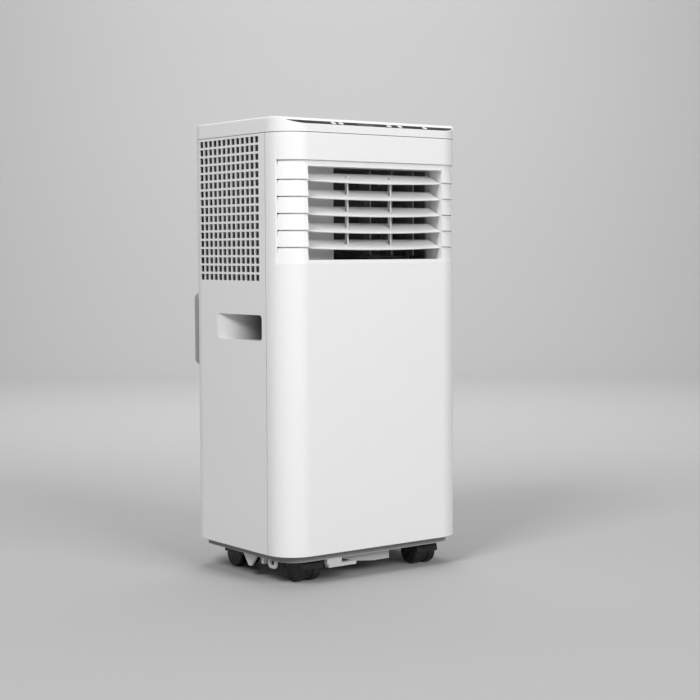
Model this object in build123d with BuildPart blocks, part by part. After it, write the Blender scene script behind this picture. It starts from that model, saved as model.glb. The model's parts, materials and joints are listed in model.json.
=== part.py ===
"""A compact portable air conditioner on castors, as an assembly of separate pieces, in millimetres.

+X is to the right of someone facing the machine, +Y runs from its front to its back and +Z is up.
The origin is on the floor, under the middle of the whole machine with its rear fittings.
"""

from build123d import *
import os
from math import atan2, cos, degrees, pi, radians, sin, tan

# ---------------------------------------------------------------- driving dimensions
WIDTH = 346.0  # case, side to side
DEPTH = 264.0  # case, front to back, without the rear fittings
CASE_HEIGHT = 648.0  # lower edge of the case to the top of the lid
GROUND_CLEARANCE = 46.0  # floor to the lower edge of the case
FRONT_RADIUS = 45.0  # vertical front corners
REAR_RADIUS = 38.0  # vertical rear corners
REAR_REACH = 26.0  # how far the duct collar and cord winder stand behind the case
WALL = 2.6  # moulded shells
SEAM_GAP = 0.9  # visible joint between two shells
FIT = 0.4  # gap between a moulded piece and the window it sits in
PAST = 1.0  # cutters run this far past the faces they cut

# front shell and lid
SEAM_SETBACK = 47.5  # side joint, behind the front face
LID_HEIGHT = 23.0
LIP_HEIGHT = 12.0  # front of the lid, below the sloping control strip
SLOPE_DEPTH = 26.0  # front to back run of the sloping strip
LID_EDGE_RADIUS = 2.5
PANEL_THICK = 2.0
PANEL_FRONT = 1.5  # control strip's front edge, behind the front face
PANEL_REAR = 14.5
PANEL_SIDE_INSET = 1.2
BUTTON_RADIUS = 4.2
BUTTON_PLAY = 0.3
BUTTON_PROUD = 0.5
BUTTON_EDGE = 0.4
BUTTON_THICK = 2.0
BUTTON_PLACES = (-77.0, -63.0, 28.0, 49.0, 98.0)
DISPLAY_X = -17.0
DISPLAY_SIZE = (30.0, 8.0)

# air outlet
BAND_LOW = 432.6  # recessed band around the outlet, above the case's lower edge
BAND_HIGH = 585.0
BAND_SETBACK = 26.0  # the band ends this far behind the front face, on the corners
OUTLET_WIDTH = 256.0
OUTLET_LOW = 438.6
OUTLET_HIGH = 576.2
BLADE_COUNT = 5
BLADE_PITCH = 24.75
LOWEST_GROOVE = 458.0
GROOVE_HEIGHT = 1.8
STRIP_INSET_LOW = 0.8  # a strip's lower edge stands nearly flush
STRIP_INSET_HIGH = 3.0  # its upper edge is set back
BAND_BACK = 4.4  # grooves stop at this inset
BAND_INNER = 6.6
BAND_FLANGE = 4.0  # tucks behind the shell above and below the window
TUNNEL_BACK = 39.5  # bezel's tunnel ends this far behind the front face
BLADE_THICK = 2.2
BLADE_EDGE = 0.88  # rounding of a blade's edges
BLADE_CHORD = 34.0
BLADE_TILT = 25.0  # nose down, at rest
BLADE_PIVOT_SETBACK = 26.0
BLADE_NOSE_SETBACK = 2.0
BLADE_BOW = 6.0  # the nose's middle stands ahead of its ends by this
BLADE_CORNERS = (14.0, 2.0)  # the nose's left and right corners
BLADE_DROP = 4.6  # nose below its groove
BLADE_END_GAP = 0.8
PIVOT_RADIUS = 1.5
PIVOT_PLAY = 0.2
LINK_PLACES = (-46.5, 35.5)
LINK_ARM = 10.0
LINK_PIN_RADIUS = 0.95
LINK_THICK = 2.6
LINK_DEPTH = 6.0
LINK_END = 4.0
LINK_SLOT = (3.6, 11.5)

# air duct and its upright vanes
DUCT_FRONT = 40.0
DUCT_BACK = 92.0
DUCT_LEFT = -54.0
DUCT_WALL = 2.4
VANE_PLACES = (19.0, 61.0, 104.0)
VANE_SETBACK = 57.0
VANE_CHORD = 28.0
VANE_THICK = 2.0
VANE_EDGE = 0.8  # rounding of a vane's edges
VANE_FLOOR_GAP = 6.0
VANE_TOP_GAP = 1.5
VANE_ARM = 9.0
VANE_PIN_RADIUS = 1.2
VANE_BAR = (6.0, 2.4)
VANE_BAR_LIFT = 2.2

# side grilles and handles
GRILLE_LOW = 400.0
GRILLE_AHEAD = 33.0  # the grilles end this far ahead of the rear face
HOLE_COLUMNS = 13
HOLE_ROWS = 17
HOLE_SIZE = (10.2, 9.4)
HOLE_PITCH = (12.8, 12.75)
HOLE_FRONT = 70.0  # first column's middle, behind the front face
HOLE_TOP_MARGIN = 8.4  # top row's middle, under the lid joint
GRILLE_THICK = 2.2
HANDLE_LOW = 315.0
HANDLE_HIGH = 361.0
HANDLE_FRONT = 55.0
HANDLE_BACK = 186.0
HANDLE_DEPTH = 42.0
HANDLE_POCKET_LOW = 318.5
HANDLE_POCKET_HIGH = 357.0
HANDLE_POCKET_FRONT = 59.0
HANDLE_POCKET_BACK = 180.0
HANDLE_CORNER = 6.0

# rear fittings
FILTER_WIDTH = 252.0
FILTER_LOW = 402.0
FILTER_HIGH = 606.0
FILTER_FLANGE = 6.0
FILTER_PROUD = 2.5
FILTER_BARS = 9
MESH_THICK = 1.0
EAR_LOW = 476.5
EAR_HIGH = 553.0
EAR_REACH = 16.0
EAR_THICK = 4.0
EAR_LIP = (3.0, 11.0)  # turned in towards the case: thickness and depth
EAR_OUT = 151.0
INTAKE_WIDTH = 230.0
INTAKE_LOW = 66.0
INTAKE_HIGH = 206.0
INTAKE_SLOTS = 19
INTAKE_SLOT_WIDTH = 5.0
COLLAR_X = 22.0
COLLAR_HEIGHT = 298.0
COLLAR_BORE = 62.0
COLLAR_WALL = 3.0
COLLAR_FLANGE = 74.0
COLLAR_FLANGE_THICK = 3.0
GUARD_THICK = 2.0
GUARD_RINGS = (0.68, 0.36)  # the guard's inner rings, in shares of its outer one
WINDER_X = -129.0
WINDER_LOW = 270.5
WINDER_HIGH = 386.5
WINDER_WIDTH = 40.0
WINDER_PLATE = 12.0
WINDER_EDGE = 3.6
WINDER_NECK = (16.0, 78.0)
GLAND_X = -118.0
GLAND_HEIGHT = 36.0
GLAND_RADIUS = 7.0
LEAD_BORE = 3.5  # bore for the mains lead
DRAIN_X = 112.0
DRAIN_LOW = 22.0
DRAIN_HIGH = 384.0
DRAIN_RADIUS = 7.5
RIM_SCREWS = (-108.0, -36.0, 36.0)  # screws along the base pan's rim
SCREW_SHANK = 1.6
SCREW_HEAD = (3.4, 2.0)
SCREW_LENGTH = 8.0

# base and castors
PAN_DROP = 10.0  # underside of the pan, below the case's lower edge
PAN_LIP = 1.5  # the pan's rim shows this far below the case
PAN_INSET = 12.0  # the lower part of the pan stands in from the case's sides
PAN_FLOOR = 3.0
PAN_GAP = 0.6
PAN_RIM = 40.0
PAN_WALL = 2.6
WHEEL_RADIUS = 21.5
WHEEL_WIDTH = 13.5
WHEEL_GAP = 12.0
HUB_PLAY = 0.5  # between the hub and each wheel
WHEEL_ROUND = 3.0
AXLE_RADIUS = 3.0
AXLE_PLAY = 0.08
TRAIL = 10.0
FRONT_CASTORS = (-107.0, 118.0)  # swivel axes, left and right
REAR_CASTORS = (-113.0, 113.0)
CASTOR_FRONT = 60.0  # front swivel axes behind the front face
CASTOR_REAR = 70.0  # rear swivel axes ahead of the rear face
CASTOR_YAW = -4.0  # the front castors stand turned by this
STEM_RADIUS = 5.0
STEM_PLAY = 0.08
STEM_LENGTH = 24.0
STEM_SPARE = 0.5  # above a stem's end in its bush
SOCKET_RADIUS = 8.0
SOCKET_LENGTH = 26.0
WELL_RADIUS = 43.0
WELL_TOP = 52.0  # underside of a wheel well's roof, above the floor
HOOD_CLEAR = 2.0

# below the base pan, in x, in distance behind the front face and in drop below the case
FEET = (
    (-88.0, -61.0, 14.0, 22.0, 9.0, 19.5), (-86.0, -34.0, 13.0, 22.0, 19.0, 24.0),
    (-159.0, -153.0, 80.0, 86.0, 9.0, 19.5),
)
CHUTE_OUTLINE = ((-45.0, 9.0), (46.0, 9.0), (46.0, 28.0), (15.0, 28.0), (-20.0, 24.5), (-45.0, 18.0))
CHUTE_SETBACK = (34.0, 78.0)
GUSSET_OUTLINE = ((142.0, 9.0), (126.0, 29.0), (119.0, 29.0), (108.0, 16.0), (105.0, 9.0))
GUSSET_X = (-156.0, -152.0)
HOOK_X = -156.0
HOOK_SETBACK = (68.0, 51.0)
HOOK_DROP = (21.0, 12.0)
HOOK_RADIUS = 3.0
HOOK_BEND = 6.0

# inside
DECK_HEIGHT = 392.0
DECK_THICK = 4.0
LEDGE = 6.0  # ribs inside the housing that carry the deck
BLOWER_RADIUS = 78.0
BLOWER_WIDTH = 46.0
BLOWER_INLET = 62.0
BLOWER_X = 14.0
BLOWER_HEIGHT = 506.0
BLOWER_BLADES = 24
BLADE_SHARE = 0.22
BLADE_REACH = 0.96  # blade chord, as a share of the ring's depth
BLADE_ANGLE = 35.0
DISC_THICK = 2.0
WHEEL_CLEAR = 5.0
SCROLL_BACK = 156.0
SCROLL_WALL = 2.4
SCROLL_CLEAR = 10.0
SPOKE_RADIUS = 3.0
SPOKE_ROOT = 2.0  # a spoke's end inside the inlet's edge
SPOKE_ANGLES = (90, 210, 330)
SHAFT_RADIUS = 4.0
MOTOR_RADIUS = 34.0
MOTOR_LENGTH = 24.0
MOTOR_BOSS = 10.0
SHAFT_DEPTH = 14.0
SHAFT_SPARE = 1.0  # a shaft stops this far short of its bore's end
COIL_DEPTH = 26.0
COIL_ROW = 21.0
COIL_GROOVES = 16
GROOVE_WIDTH = 2.0
GROOVE_DEPTH = 3.0
GROOVE_MARGIN = 4.0  # the grooves stop this far short of the fin pack's ends
END_PLATE = 2.0
PLATE_PROUD = 1.0  # the end plates stand this far ahead of the fins
COLD_COIL_WIDTH = 226.0
HOT_COIL_WIDTH = 200.0
COLD_COIL_AHEAD = 70.0  # the coils' front faces, ahead of the rear face
HOT_COIL_AHEAD = 38.0
HOT_COIL_LOW = 80.0
HOT_COIL_HIGH = 208.0
TRAY_SPARE = 6.0
TRAY_HEIGHT = 14.0
TRAY_REST = 8.0
FAN_RADIUS = 56.0
FAN_WIDTH = 38.0
FAN_CLEAR = 8.0
FAN_BLADES = 7
FAN_HUB = 18.0
FAN_TILT = 32.0
BLADE_ROOT = 1.0  # a fan blade's root inside the hub
FAN_INLET = 50.0
FAN_AHEAD = 58.0  # the hot air fan's housing begins this far ahead of the rear face
COMPRESSOR_RADIUS = 54.0
COMPRESSOR_HEIGHT = 172.0
COMPRESSOR_X = -44.0
COMPRESSOR_SETBACK = 118.0
MOUNT_HEIGHT = 20.0
MOUNT_RADIUS = 9.0
MOUNT_RING = 52.9  # the mounts' middles, from the compressor's axis
FOOT_RING = 37.8
FOOT_ANGLE = 30.0
PIPE_RADIUS = 4.0
PIPE_PLACES = (-64.0, -34.0)
PIPE_AHEAD = 86.0
PIPE_RISE = 30.0
PIPE_BEND = 12.0
PIPE_STUB = 40.0
STUB_WALL = 1.0
BOARD_BOX = (66.0, 40.0, 120.0)
BOARD_THICK = 1.6
BOARD_PARTS = ((15.0, 35.0, 6.0), (42.0, 35.0, 8.0), (18.0, 88.0, 5.0))  # across, up, radius

# ---------------------------------------------------------------- derived places
Y_FRONT = -(DEPTH + REAR_REACH) / 2
Y_BACK = Y_FRONT + DEPTH
Y_MID = Y_FRONT + DEPTH / 2
Y_SEAM = Y_FRONT + SEAM_SETBACK
Z_CASE = GROUND_CLEARANCE
Z_TOP = Z_CASE + CASE_HEIGHT
Z_LID = Z_TOP - LID_HEIGHT
Z_LIP = Z_LID + LIP_HEIGHT
Z_OUT_LOW = Z_CASE + OUTLET_LOW
Z_OUT_HIGH = Z_CASE + OUTLET_HIGH
Z_BAND_LOW = Z_CASE + BAND_LOW
Z_BAND_HIGH = Z_CASE + BAND_HIGH
Z_PAN = Z_CASE - PAN_DROP
Z_DECK = Z_CASE + DECK_HEIGHT
SLOPE = degrees(atan2(Z_TOP - Z_LIP, SLOPE_DEPTH))
NOSE_REACH = (BLADE_PIVOT_SETBACK - BLADE_NOSE_SETBACK) / cos(radians(BLADE_TILT))
LINK_DY = -LINK_ARM * cos(radians(BLADE_TILT))
LINK_DZ = -LINK_ARM * sin(radians(BLADE_TILT))
Y_BLADE = Y_FRONT + BLADE_PIVOT_SETBACK
Y_VANE = Y_FRONT + VANE_SETBACK
Y_PIPE = Y_BACK - PIPE_AHEAD
Y_COLD = Y_BACK - COLD_COIL_AHEAD
Y_HOT = Y_BACK - HOT_COIL_AHEAD
Y_FAN = Y_BACK - FAN_AHEAD
Y_GRILLE = Y_BACK - GRILLE_AHEAD
Y_DUCT = Y_FRONT + DUCT_BACK
Y_SCROLL = Y_FRONT + SCROLL_BACK
LEFT, RIGHT = -1, 1
SIDES = {"left": LEFT, "right": RIGHT}
BIG = 2 * (WIDTH + DEPTH + CASE_HEIGHT)


def groove_z(number):
    """Height of a groove in the band, counted from the top, 1 to BLADE_COUNT."""
    return Z_CASE + LOWEST_GROOVE + (BLADE_COUNT - number) * BLADE_PITCH


def blade_z(number):
    """Height of a louvre blade's pivot: its nose hangs BLADE_DROP below its groove."""
    return groove_z(number) - BLADE_DROP + NOSE_REACH * sin(radians(BLADE_TILT))


def front_plane(y):
    """An upright plane at y that faces the back, with local x along X and local y along -Z."""
    return Plane(origin=(0, y, 0), x_dir=(1, 0, 0), z_dir=(0, 1, 0))


def side_plane(x):
    """An upright plane at x that faces +X, with local x along Y and local y along Z."""
    return Plane(origin=(x, 0, 0), x_dir=(0, 1, 0), z_dir=(1, 0, 0))


def plan(inset, z):
    """The case's outline seen from above, drawn in by inset, at height z."""
    with BuildSketch(Plane.XY.offset(z)) as outline:
        with Locations((0, Y_MID)):
            Rectangle(WIDTH - 2 * inset, DEPTH - 2 * inset)
        fillet(outline.vertices().group_by(Axis.Y)[0], FRONT_RADIUS - inset)
        fillet(outline.vertices().group_by(Axis.Y)[-1], REAR_RADIUS - inset)
    return outline.sketch


def block(x0, x1, y0, y1, z0, z1, mode=Mode.ADD):
    """A box between two corners, added to or cut from the open part."""
    with Locations(((x0 + x1) / 2, (y0 + y1) / 2, (z0 + z1) / 2)):
        Box(x1 - x0, y1 - y0, z1 - z0, mode=mode)


def rod(start, end, radius, mode=Mode.ADD):
    """A round bar from start to end, added to or cut from the open part."""
    a, b = Vector(*start), Vector(*end)
    with BuildSketch(Plane(origin=start, z_dir=(b - a).normalized())) as disc:
        Circle(radius)
    extrude(disc.sketch, amount=(b - a).length, mode=mode)


def keep_front(y):
    """Keeps what lies ahead of y."""
    split(bisect_by=Plane(origin=(0, y, 0), z_dir=(0, -1, 0)), keep=Keep.TOP)


def keep_back(y):
    """Keeps what lies behind y."""
    split(bisect_by=Plane(origin=(0, y, 0), z_dir=(0, 1, 0)), keep=Keep.TOP)


# ---------------------------------------------------------------- shells
def front_shell():
    """The front of the case: a U of wall with a window for the outlet band."""
    with BuildPart() as shell:
        extrude(plan(0, Z_CASE), amount=Z_LID - Z_CASE)
        extrude(plan(WALL, Z_CASE), amount=Z_LID - Z_CASE, mode=Mode.SUBTRACT)
        keep_front(Y_SEAM)
        reach = WIDTH / 2 + PAST
        block(
            -reach, reach, Y_FRONT - PAST, Y_FRONT + BAND_SETBACK, Z_BAND_LOW, Z_BAND_HIGH,
            Mode.SUBTRACT,
        )
    return shell


def rear_housing():
    """The sides and back of the case in one moulding, with windows for grilles, handles and fittings."""
    with BuildPart() as shell:
        extrude(plan(0, Z_CASE), amount=Z_LID - Z_CASE)
        extrude(plan(WALL, Z_CASE), amount=Z_LID - Z_CASE, mode=Mode.SUBTRACT)
        keep_back(Y_SEAM + SEAM_GAP)
        for side in SIDES.values():
            inner, outer = sorted((side * (WIDTH / 2 - WALL - PAST), side * (WIDTH / 2 + PAST)))
            block(inner, outer, Y_SEAM, Y_GRILLE, Z_CASE + GRILLE_LOW, Z_LID + PAST, Mode.SUBTRACT)
            block(
                inner, outer, Y_FRONT + HANDLE_FRONT, Y_FRONT + HANDLE_BACK,
                Z_CASE + HANDLE_LOW, Z_CASE + HANDLE_HIGH, Mode.SUBTRACT,
            )
        y0, y1 = Y_BACK - WALL - PAST, Y_BACK + PAST
        block(
            -FILTER_WIDTH / 2, FILTER_WIDTH / 2, y0, y1,
            Z_CASE + FILTER_LOW, Z_CASE + FILTER_HIGH, Mode.SUBTRACT,
        )
        block(
            -INTAKE_WIDTH / 2, INTAKE_WIDTH / 2, y0, y1,
            Z_CASE + INTAKE_LOW, Z_CASE + INTAKE_HIGH, Mode.SUBTRACT,
        )
        for x, height, radius in (
            (COLLAR_X, COLLAR_HEIGHT, COLLAR_BORE + COLLAR_WALL), (GLAND_X, GLAND_HEIGHT, GLAND_RADIUS),
            (DRAIN_X, DRAIN_LOW, DRAIN_RADIUS), (DRAIN_X, DRAIN_HIGH, DRAIN_RADIUS),
        ):
            rod((x, y0, Z_CASE + height), (x, y1, Z_CASE + height), radius, Mode.SUBTRACT)
        for x, _, z in screw_places():
            rod((x, y0, z), (x, y1, z), SCREW_SHANK, Mode.SUBTRACT)
        for side in SIDES.values():
            edge = side * (WIDTH / 2 - WALL)
            x0, x1 = sorted((edge, edge - side * LEDGE))
            block(x0, x1, Y_SEAM + LEDGE, Y_BACK - REAR_RADIUS, Z_DECK - LEDGE, Z_DECK)
    return shell


def side_grille(side):
    """The perforated upper half of one side, flush with the housing below and behind it."""
    low, high = Z_CASE + GRILLE_LOW, Z_LID
    inner, outer = sorted((side * (WIDTH / 2 - WALL - PAST), side * (WIDTH / 2 + PAST)))
    with BuildPart() as grille:
        extrude(plan(0, low), amount=high - low)
        extrude(plan(GRILLE_THICK, low), amount=high - low, mode=Mode.SUBTRACT)
        block(inner, outer, Y_SEAM + SEAM_GAP, Y_GRILLE, low, high, Mode.INTERSECT)
        with BuildSketch(side_plane(-BIG / 2)):
            with Locations((
                Y_FRONT + HOLE_FRONT + (HOLE_COLUMNS - 1) / 2 * HOLE_PITCH[0],
                Z_LID - HOLE_TOP_MARGIN - (HOLE_ROWS - 1) / 2 * HOLE_PITCH[1],
            )):
                with GridLocations(*HOLE_PITCH, HOLE_COLUMNS, HOLE_ROWS):
                    Rectangle(*HOLE_SIZE)
        extrude(amount=BIG, mode=Mode.SUBTRACT)
    return grille


def handle_pocket(side):
    """A carrying handle: a scoop that deepens towards the front, under a finger edge."""
    face = side * WIDTH / 2
    front, back = Y_FRONT + HANDLE_FRONT, Y_FRONT + HANDLE_BACK
    mouth_front = Y_FRONT + HANDLE_POCKET_FRONT
    hollow = handle_hollow(side)
    with BuildPart() as pocket:
        with BuildSketch(Plane.XY.offset(Z_CASE + HANDLE_LOW)):
            with BuildLine():
                Polyline(
                    (face, back), (face - side * WALL, back),
                    (face - side * HANDLE_DEPTH, mouth_front + HANDLE_DEPTH),
                    (face - side * HANDLE_DEPTH, front), (face, front), close=True,
                )
            make_face()
        extrude(amount=HANDLE_HIGH - HANDLE_LOW)
        add(hollow, mode=Mode.SUBTRACT)
    return pocket


def handle_hollow(side):
    """The scoop itself, deepest at its front, with rounded corners at the mouth."""
    face = side * WIDTH / 2
    deep = face - side * (HANDLE_DEPTH - WALL)
    front, back = Y_FRONT + HANDLE_POCKET_FRONT, Y_FRONT + HANDLE_POCKET_BACK
    low, high = Z_CASE + HANDLE_POCKET_LOW, Z_CASE + HANDLE_POCKET_HIGH
    with BuildPart() as hollow:
        with BuildSketch(Plane.XY.offset(low)):
            with BuildLine():
                Polyline(
                    (face + side, back), (face, back), (deep, front + HANDLE_DEPTH - WALL),
                    (deep, front), (face + side, front), close=True,
                )
            make_face()
        extrude(amount=high - low)
        with BuildSketch(side_plane(-BIG / 2)):
            with Locations(((front + back) / 2, (low + high) / 2)):
                RectangleRounded(back - front, high - low, HANDLE_CORNER)
        extrude(amount=BIG, mode=Mode.INTERSECT)
    return hollow.part


def slope_point(x, run, lift):
    """A point on the lid's slope, run behind the front face and lift above it along its normal."""
    angle = radians(SLOPE)
    return (x, Y_FRONT + run - lift * sin(angle), Z_LIP + run * tan(angle) + lift * cos(angle))


def slope_bar(low, high, front, rear, mode):
    """A bar along X beside the lid's slope, from low to high off it and from front to rear along it."""
    corners = [slope_point(0, run, lift)[1:] for run, lift in (
        (front, low), (rear, low), (rear, high), (front, high),
    )]
    with BuildSketch(side_plane(-BIG / 2)) as profile:
        with BuildLine():
            Polyline(*corners, close=True)
        make_face()
    extrude(profile.sketch, amount=BIG, mode=mode)


BUTTON_RUN = (PANEL_FRONT + PANEL_REAR) / 2


def button_rod(x, radius, low, high, mode):
    """A round bar square to the slope, through a button's place."""
    rod(slope_point(x, BUTTON_RUN, low), slope_point(x, BUTTON_RUN, high), radius, mode)


def display_block(spare, low, high, mode):
    """The display window's block, square to the slope."""
    plane = Plane(origin=slope_point(DISPLAY_X, BUTTON_RUN, low), x_dir=(1, 0, 0),
                  z_dir=(0, -sin(radians(SLOPE)), cos(radians(SLOPE))))
    with BuildSketch(plane) as pane:
        RectangleRounded(DISPLAY_SIZE[0] + 2 * spare, DISPLAY_SIZE[1] + 2 * spare, DISPLAY_SIZE[1] / 4)
    extrude(pane.sketch, amount=high - low, mode=mode)


def top_lid():
    """The lid, hollow below, with the sloping strip along its front."""
    bottom = Z_LID + SEAM_GAP
    inner = WIDTH / 2 - REAR_RADIUS
    seat = control_strip(FIT / 4)
    with BuildPart() as lid:
        extrude(plan(0, bottom), amount=Z_TOP - bottom)
        fillet(lid.edges().group_by(Axis.Z)[-1], LID_EDGE_RADIUS)
        slope_bar(0, 2 * LID_HEIGHT, -LID_HEIGHT, SLOPE_DEPTH, Mode.SUBTRACT)
        extrude(plan(WALL, bottom), amount=Z_LIP - WALL - bottom, mode=Mode.SUBTRACT)
        block(
            -inner, inner, Y_FRONT + SLOPE_DEPTH + WALL, Y_BACK - WALL, bottom, Z_TOP - WALL,
            Mode.SUBTRACT,
        )
        add(seat, mode=Mode.SUBTRACT)
        for x in BUTTON_PLACES:
            button_rod(x, BUTTON_RADIUS + BUTTON_PLAY, -PANEL_THICK - LID_HEIGHT, 0, Mode.SUBTRACT)
    return lid


def control_strip(grow):
    """The strip's solid in the lid's slope, grown by a clearance."""
    with BuildPart() as strip:
        extrude(plan(PANEL_SIDE_INSET - grow, Z_LID), amount=2 * LID_HEIGHT)
        slope_bar(-PANEL_THICK - grow, grow, PANEL_FRONT - grow, PANEL_REAR + grow, Mode.INTERSECT)
    return strip.part


def control_panel():
    """The dark strip with holes for the buttons and the display window."""
    strip = control_strip(0)
    with BuildPart() as panel:
        add(strip)
        for x in BUTTON_PLACES:
            button_rod(x, BUTTON_RADIUS + BUTTON_PLAY, -2 * PANEL_THICK, PANEL_THICK, Mode.SUBTRACT)
        display_block(0, -2 * PANEL_THICK, PANEL_THICK, Mode.SUBTRACT)
    return panel


def display_window():
    """The clear window over the digits."""
    with BuildPart() as window:
        display_block(-FIT / 4, -PANEL_THICK + FIT / 4, 0, Mode.ADD)
    return window


def button(x):
    """A round push button that travels square to the slope."""
    with BuildPart() as cap:
        button_rod(x, BUTTON_RADIUS, BUTTON_PROUD - BUTTON_THICK, BUTTON_PROUD, Mode.ADD)
        fillet(cap.edges().filter_by(GeomType.CIRCLE).sort_by(Axis.Z)[-1], BUTTON_EDGE)
    return cap


# ---------------------------------------------------------------- air outlet
def bezel_flange(edge):
    """A strip of the bezel that tucks behind the shell, from edge upwards."""
    with BuildPart() as flange:
        extrude(plan(WALL, edge), amount=BAND_FLANGE)
        extrude(plan(BAND_INNER, edge), amount=BAND_FLANGE, mode=Mode.SUBTRACT)
        keep_front(Y_FRONT + BAND_SETBACK - FIT / 2)
    return flange.part


def louvre_bezel():
    """The frame in the band: overlapping strips round the corners and a tunnel for the blades."""
    low, high = Z_BAND_LOW + FIT / 2, Z_BAND_HIGH - FIT / 2
    edges = [high] + [groove_z(n) for n in range(1, BLADE_COUNT + 1)] + [low]
    taper = degrees(atan2(STRIP_INSET_HIGH - STRIP_INSET_LOW, BLADE_PITCH))
    half = OUTLET_WIDTH / 2
    skin = BAND_INNER - BAND_BACK
    flanges = [bezel_flange(low - BAND_FLANGE), bezel_flange(high)]
    with BuildPart() as bezel:
        extrude(plan(BAND_BACK, low), amount=high - low)
        for upper, lower in zip(edges, edges[1:]):
            top = upper - (GROOVE_HEIGHT if upper < high else 0)
            extrude(plan(STRIP_INSET_LOW, lower), amount=top - lower, taper=taper)
        extrude(plan(BAND_INNER, low), amount=high - low, mode=Mode.SUBTRACT)
        keep_front(Y_FRONT + BAND_SETBACK - FIT / 2)
        add(flanges)
        block(
            -half - skin, half + skin, Y_FRONT + BAND_BACK, Y_FRONT + TUNNEL_BACK,
            Z_OUT_LOW - skin, Z_OUT_HIGH + skin,
        )
        block(
            -half, half, Y_FRONT - PAST, Y_FRONT + TUNNEL_BACK + PAST, Z_OUT_LOW, Z_OUT_HIGH,
            Mode.SUBTRACT,
        )
        for number in range(1, BLADE_COUNT + 1):
            z = blade_z(number)
            for side in SIDES.values():
                rod(
                    (side * (half - PAST), Y_BLADE, z), (side * (half + skin + PAST), Y_BLADE, z),
                    PIVOT_RADIUS + PIVOT_PLAY, Mode.SUBTRACT,
                )
    return bezel


def louvre_blade(number):
    """One level blade, nose down, with end pivots and two slots that hold the link pins."""
    tilt = radians(BLADE_TILT)
    centre = (0, Y_BLADE, blade_z(number))
    normal = (0, -sin(tilt), cos(tilt))
    half = OUTLET_WIDTH / 2 - BLADE_END_GAP
    rear = BLADE_CHORD - NOSE_REACH
    ends = BLADE_BOW - NOSE_REACH
    middle = Plane(origin=centre, x_dir=(1, 0, 0), z_dir=normal)
    with BuildPart() as blade:
        with BuildSketch(middle) as outline:
            with BuildLine():
                ThreePointArc((-half, ends), (0, -NOSE_REACH), (half, ends))
                Polyline((half, ends), (half, rear), (-half, rear), (-half, ends))
            make_face()
            corners = outline.vertices().group_by(Axis.Y)[0].sort_by(Axis.X)
            for corner, radius in zip(corners, BLADE_CORNERS):
                fillet(corner, radius)
        extrude(amount=BLADE_THICK / 2, both=True)
        fillet(blade.edges().filter_by(GeomType.LINE, reverse=True), BLADE_EDGE)
        with BuildSketch(middle):
            with Locations(*[(x, -LINK_ARM) for x in LINK_PLACES]):
                Rectangle(*LINK_SLOT)
        extrude(amount=BLADE_THICK, both=True, mode=Mode.SUBTRACT)
        y, z = Y_BLADE + LINK_DY, blade_z(number) + LINK_DZ
        for x in LINK_PLACES:
            rod((x - LINK_SLOT[0], y, z), (x + LINK_SLOT[0], y, z), LINK_PIN_RADIUS)
        tip = OUTLET_WIDTH / 2 + BAND_INNER - BAND_BACK
        for side in SIDES.values():
            rod((side * (half - LINK_SLOT[0]), *centre[1:]), (side * tip, *centre[1:]), PIVOT_RADIUS)
    return blade


def louvre_link():
    """Two upright bars that tie the blades together."""
    y = Y_BLADE + LINK_DY
    heights = [blade_z(n) + LINK_DZ for n in range(1, BLADE_COUNT + 1)]
    with BuildPart() as link:
        for x in LINK_PLACES:
            block(
                x - LINK_THICK / 2, x + LINK_THICK / 2, y - LINK_DEPTH / 2, y + LINK_DEPTH / 2,
                min(heights) - LINK_END, max(heights) + LINK_END,
            )
            for z in heights:
                start, end = (x - LINK_THICK, y, z), (x + LINK_THICK, y, z)
                rod(start, end, LINK_PIN_RADIUS + PIVOT_PLAY, Mode.SUBTRACT)
    return link


def air_duct():
    """The throat behind the blades: a wall that closes its left part and a duct with vane bearings."""
    half = OUTLET_WIDTH / 2
    front, back = Y_FRONT + DUCT_FRONT, Y_FRONT + DUCT_BACK
    low, high = Z_OUT_LOW - DUCT_WALL, Z_OUT_HIGH + DUCT_WALL
    with BuildPart() as duct:
        block(DUCT_LEFT - DUCT_WALL, half + DUCT_WALL, front, back, low, high)
        block(DUCT_LEFT, half, front - PAST, back + PAST, Z_OUT_LOW, Z_OUT_HIGH, Mode.SUBTRACT)
        block(-half, DUCT_LEFT, front, front + DUCT_WALL, low, high)
        for x in VANE_PLACES:
            for z in (Z_OUT_LOW, Z_OUT_HIGH):
                rod(
                    (x, Y_VANE, z - DUCT_WALL - PAST), (x, Y_VANE, z + DUCT_WALL + PAST),
                    PIVOT_RADIUS + PIVOT_PLAY, Mode.SUBTRACT,
                )
    return duct


def vane(x):
    """One upright vane with a pivot at each end and a crank pin below."""
    low, high = Z_OUT_LOW + VANE_FLOOR_GAP, Z_OUT_HIGH - VANE_TOP_GAP
    with BuildPart() as plate:
        block(
            x - VANE_THICK / 2, x + VANE_THICK / 2,
            Y_VANE - VANE_CHORD / 2, Y_VANE + VANE_CHORD / 2, low, high,
        )
        fillet(plate.edges().filter_by(Axis.Z), VANE_EDGE)
        rod((x, Y_VANE, Z_OUT_LOW - DUCT_WALL), (x, Y_VANE, Z_OUT_HIGH + DUCT_WALL), PIVOT_RADIUS)
        rod(
            (x, Y_VANE + VANE_ARM, Z_OUT_LOW + VANE_BAR_LIFT / 2), (x, Y_VANE + VANE_ARM, low + VANE_ARM),
            VANE_PIN_RADIUS,
        )
    return plate


def vane_link():
    """The level bar that turns the vanes together."""
    low = Z_OUT_LOW + VANE_BAR_LIFT
    y = Y_VANE + VANE_ARM
    end = VANE_BAR[0]
    with BuildPart() as bar:
        block(
            min(VANE_PLACES) - end, max(VANE_PLACES) + end, y - VANE_BAR[0] / 2, y + VANE_BAR[0] / 2,
            low, low + VANE_BAR[1],
        )
        for x in VANE_PLACES:
            start, end = (x, y, low - PAST), (x, y, low + VANE_BAR[1] + PAST)
            rod(start, end, VANE_PIN_RADIUS + PIVOT_PLAY, Mode.SUBTRACT)
    return bar


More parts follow.
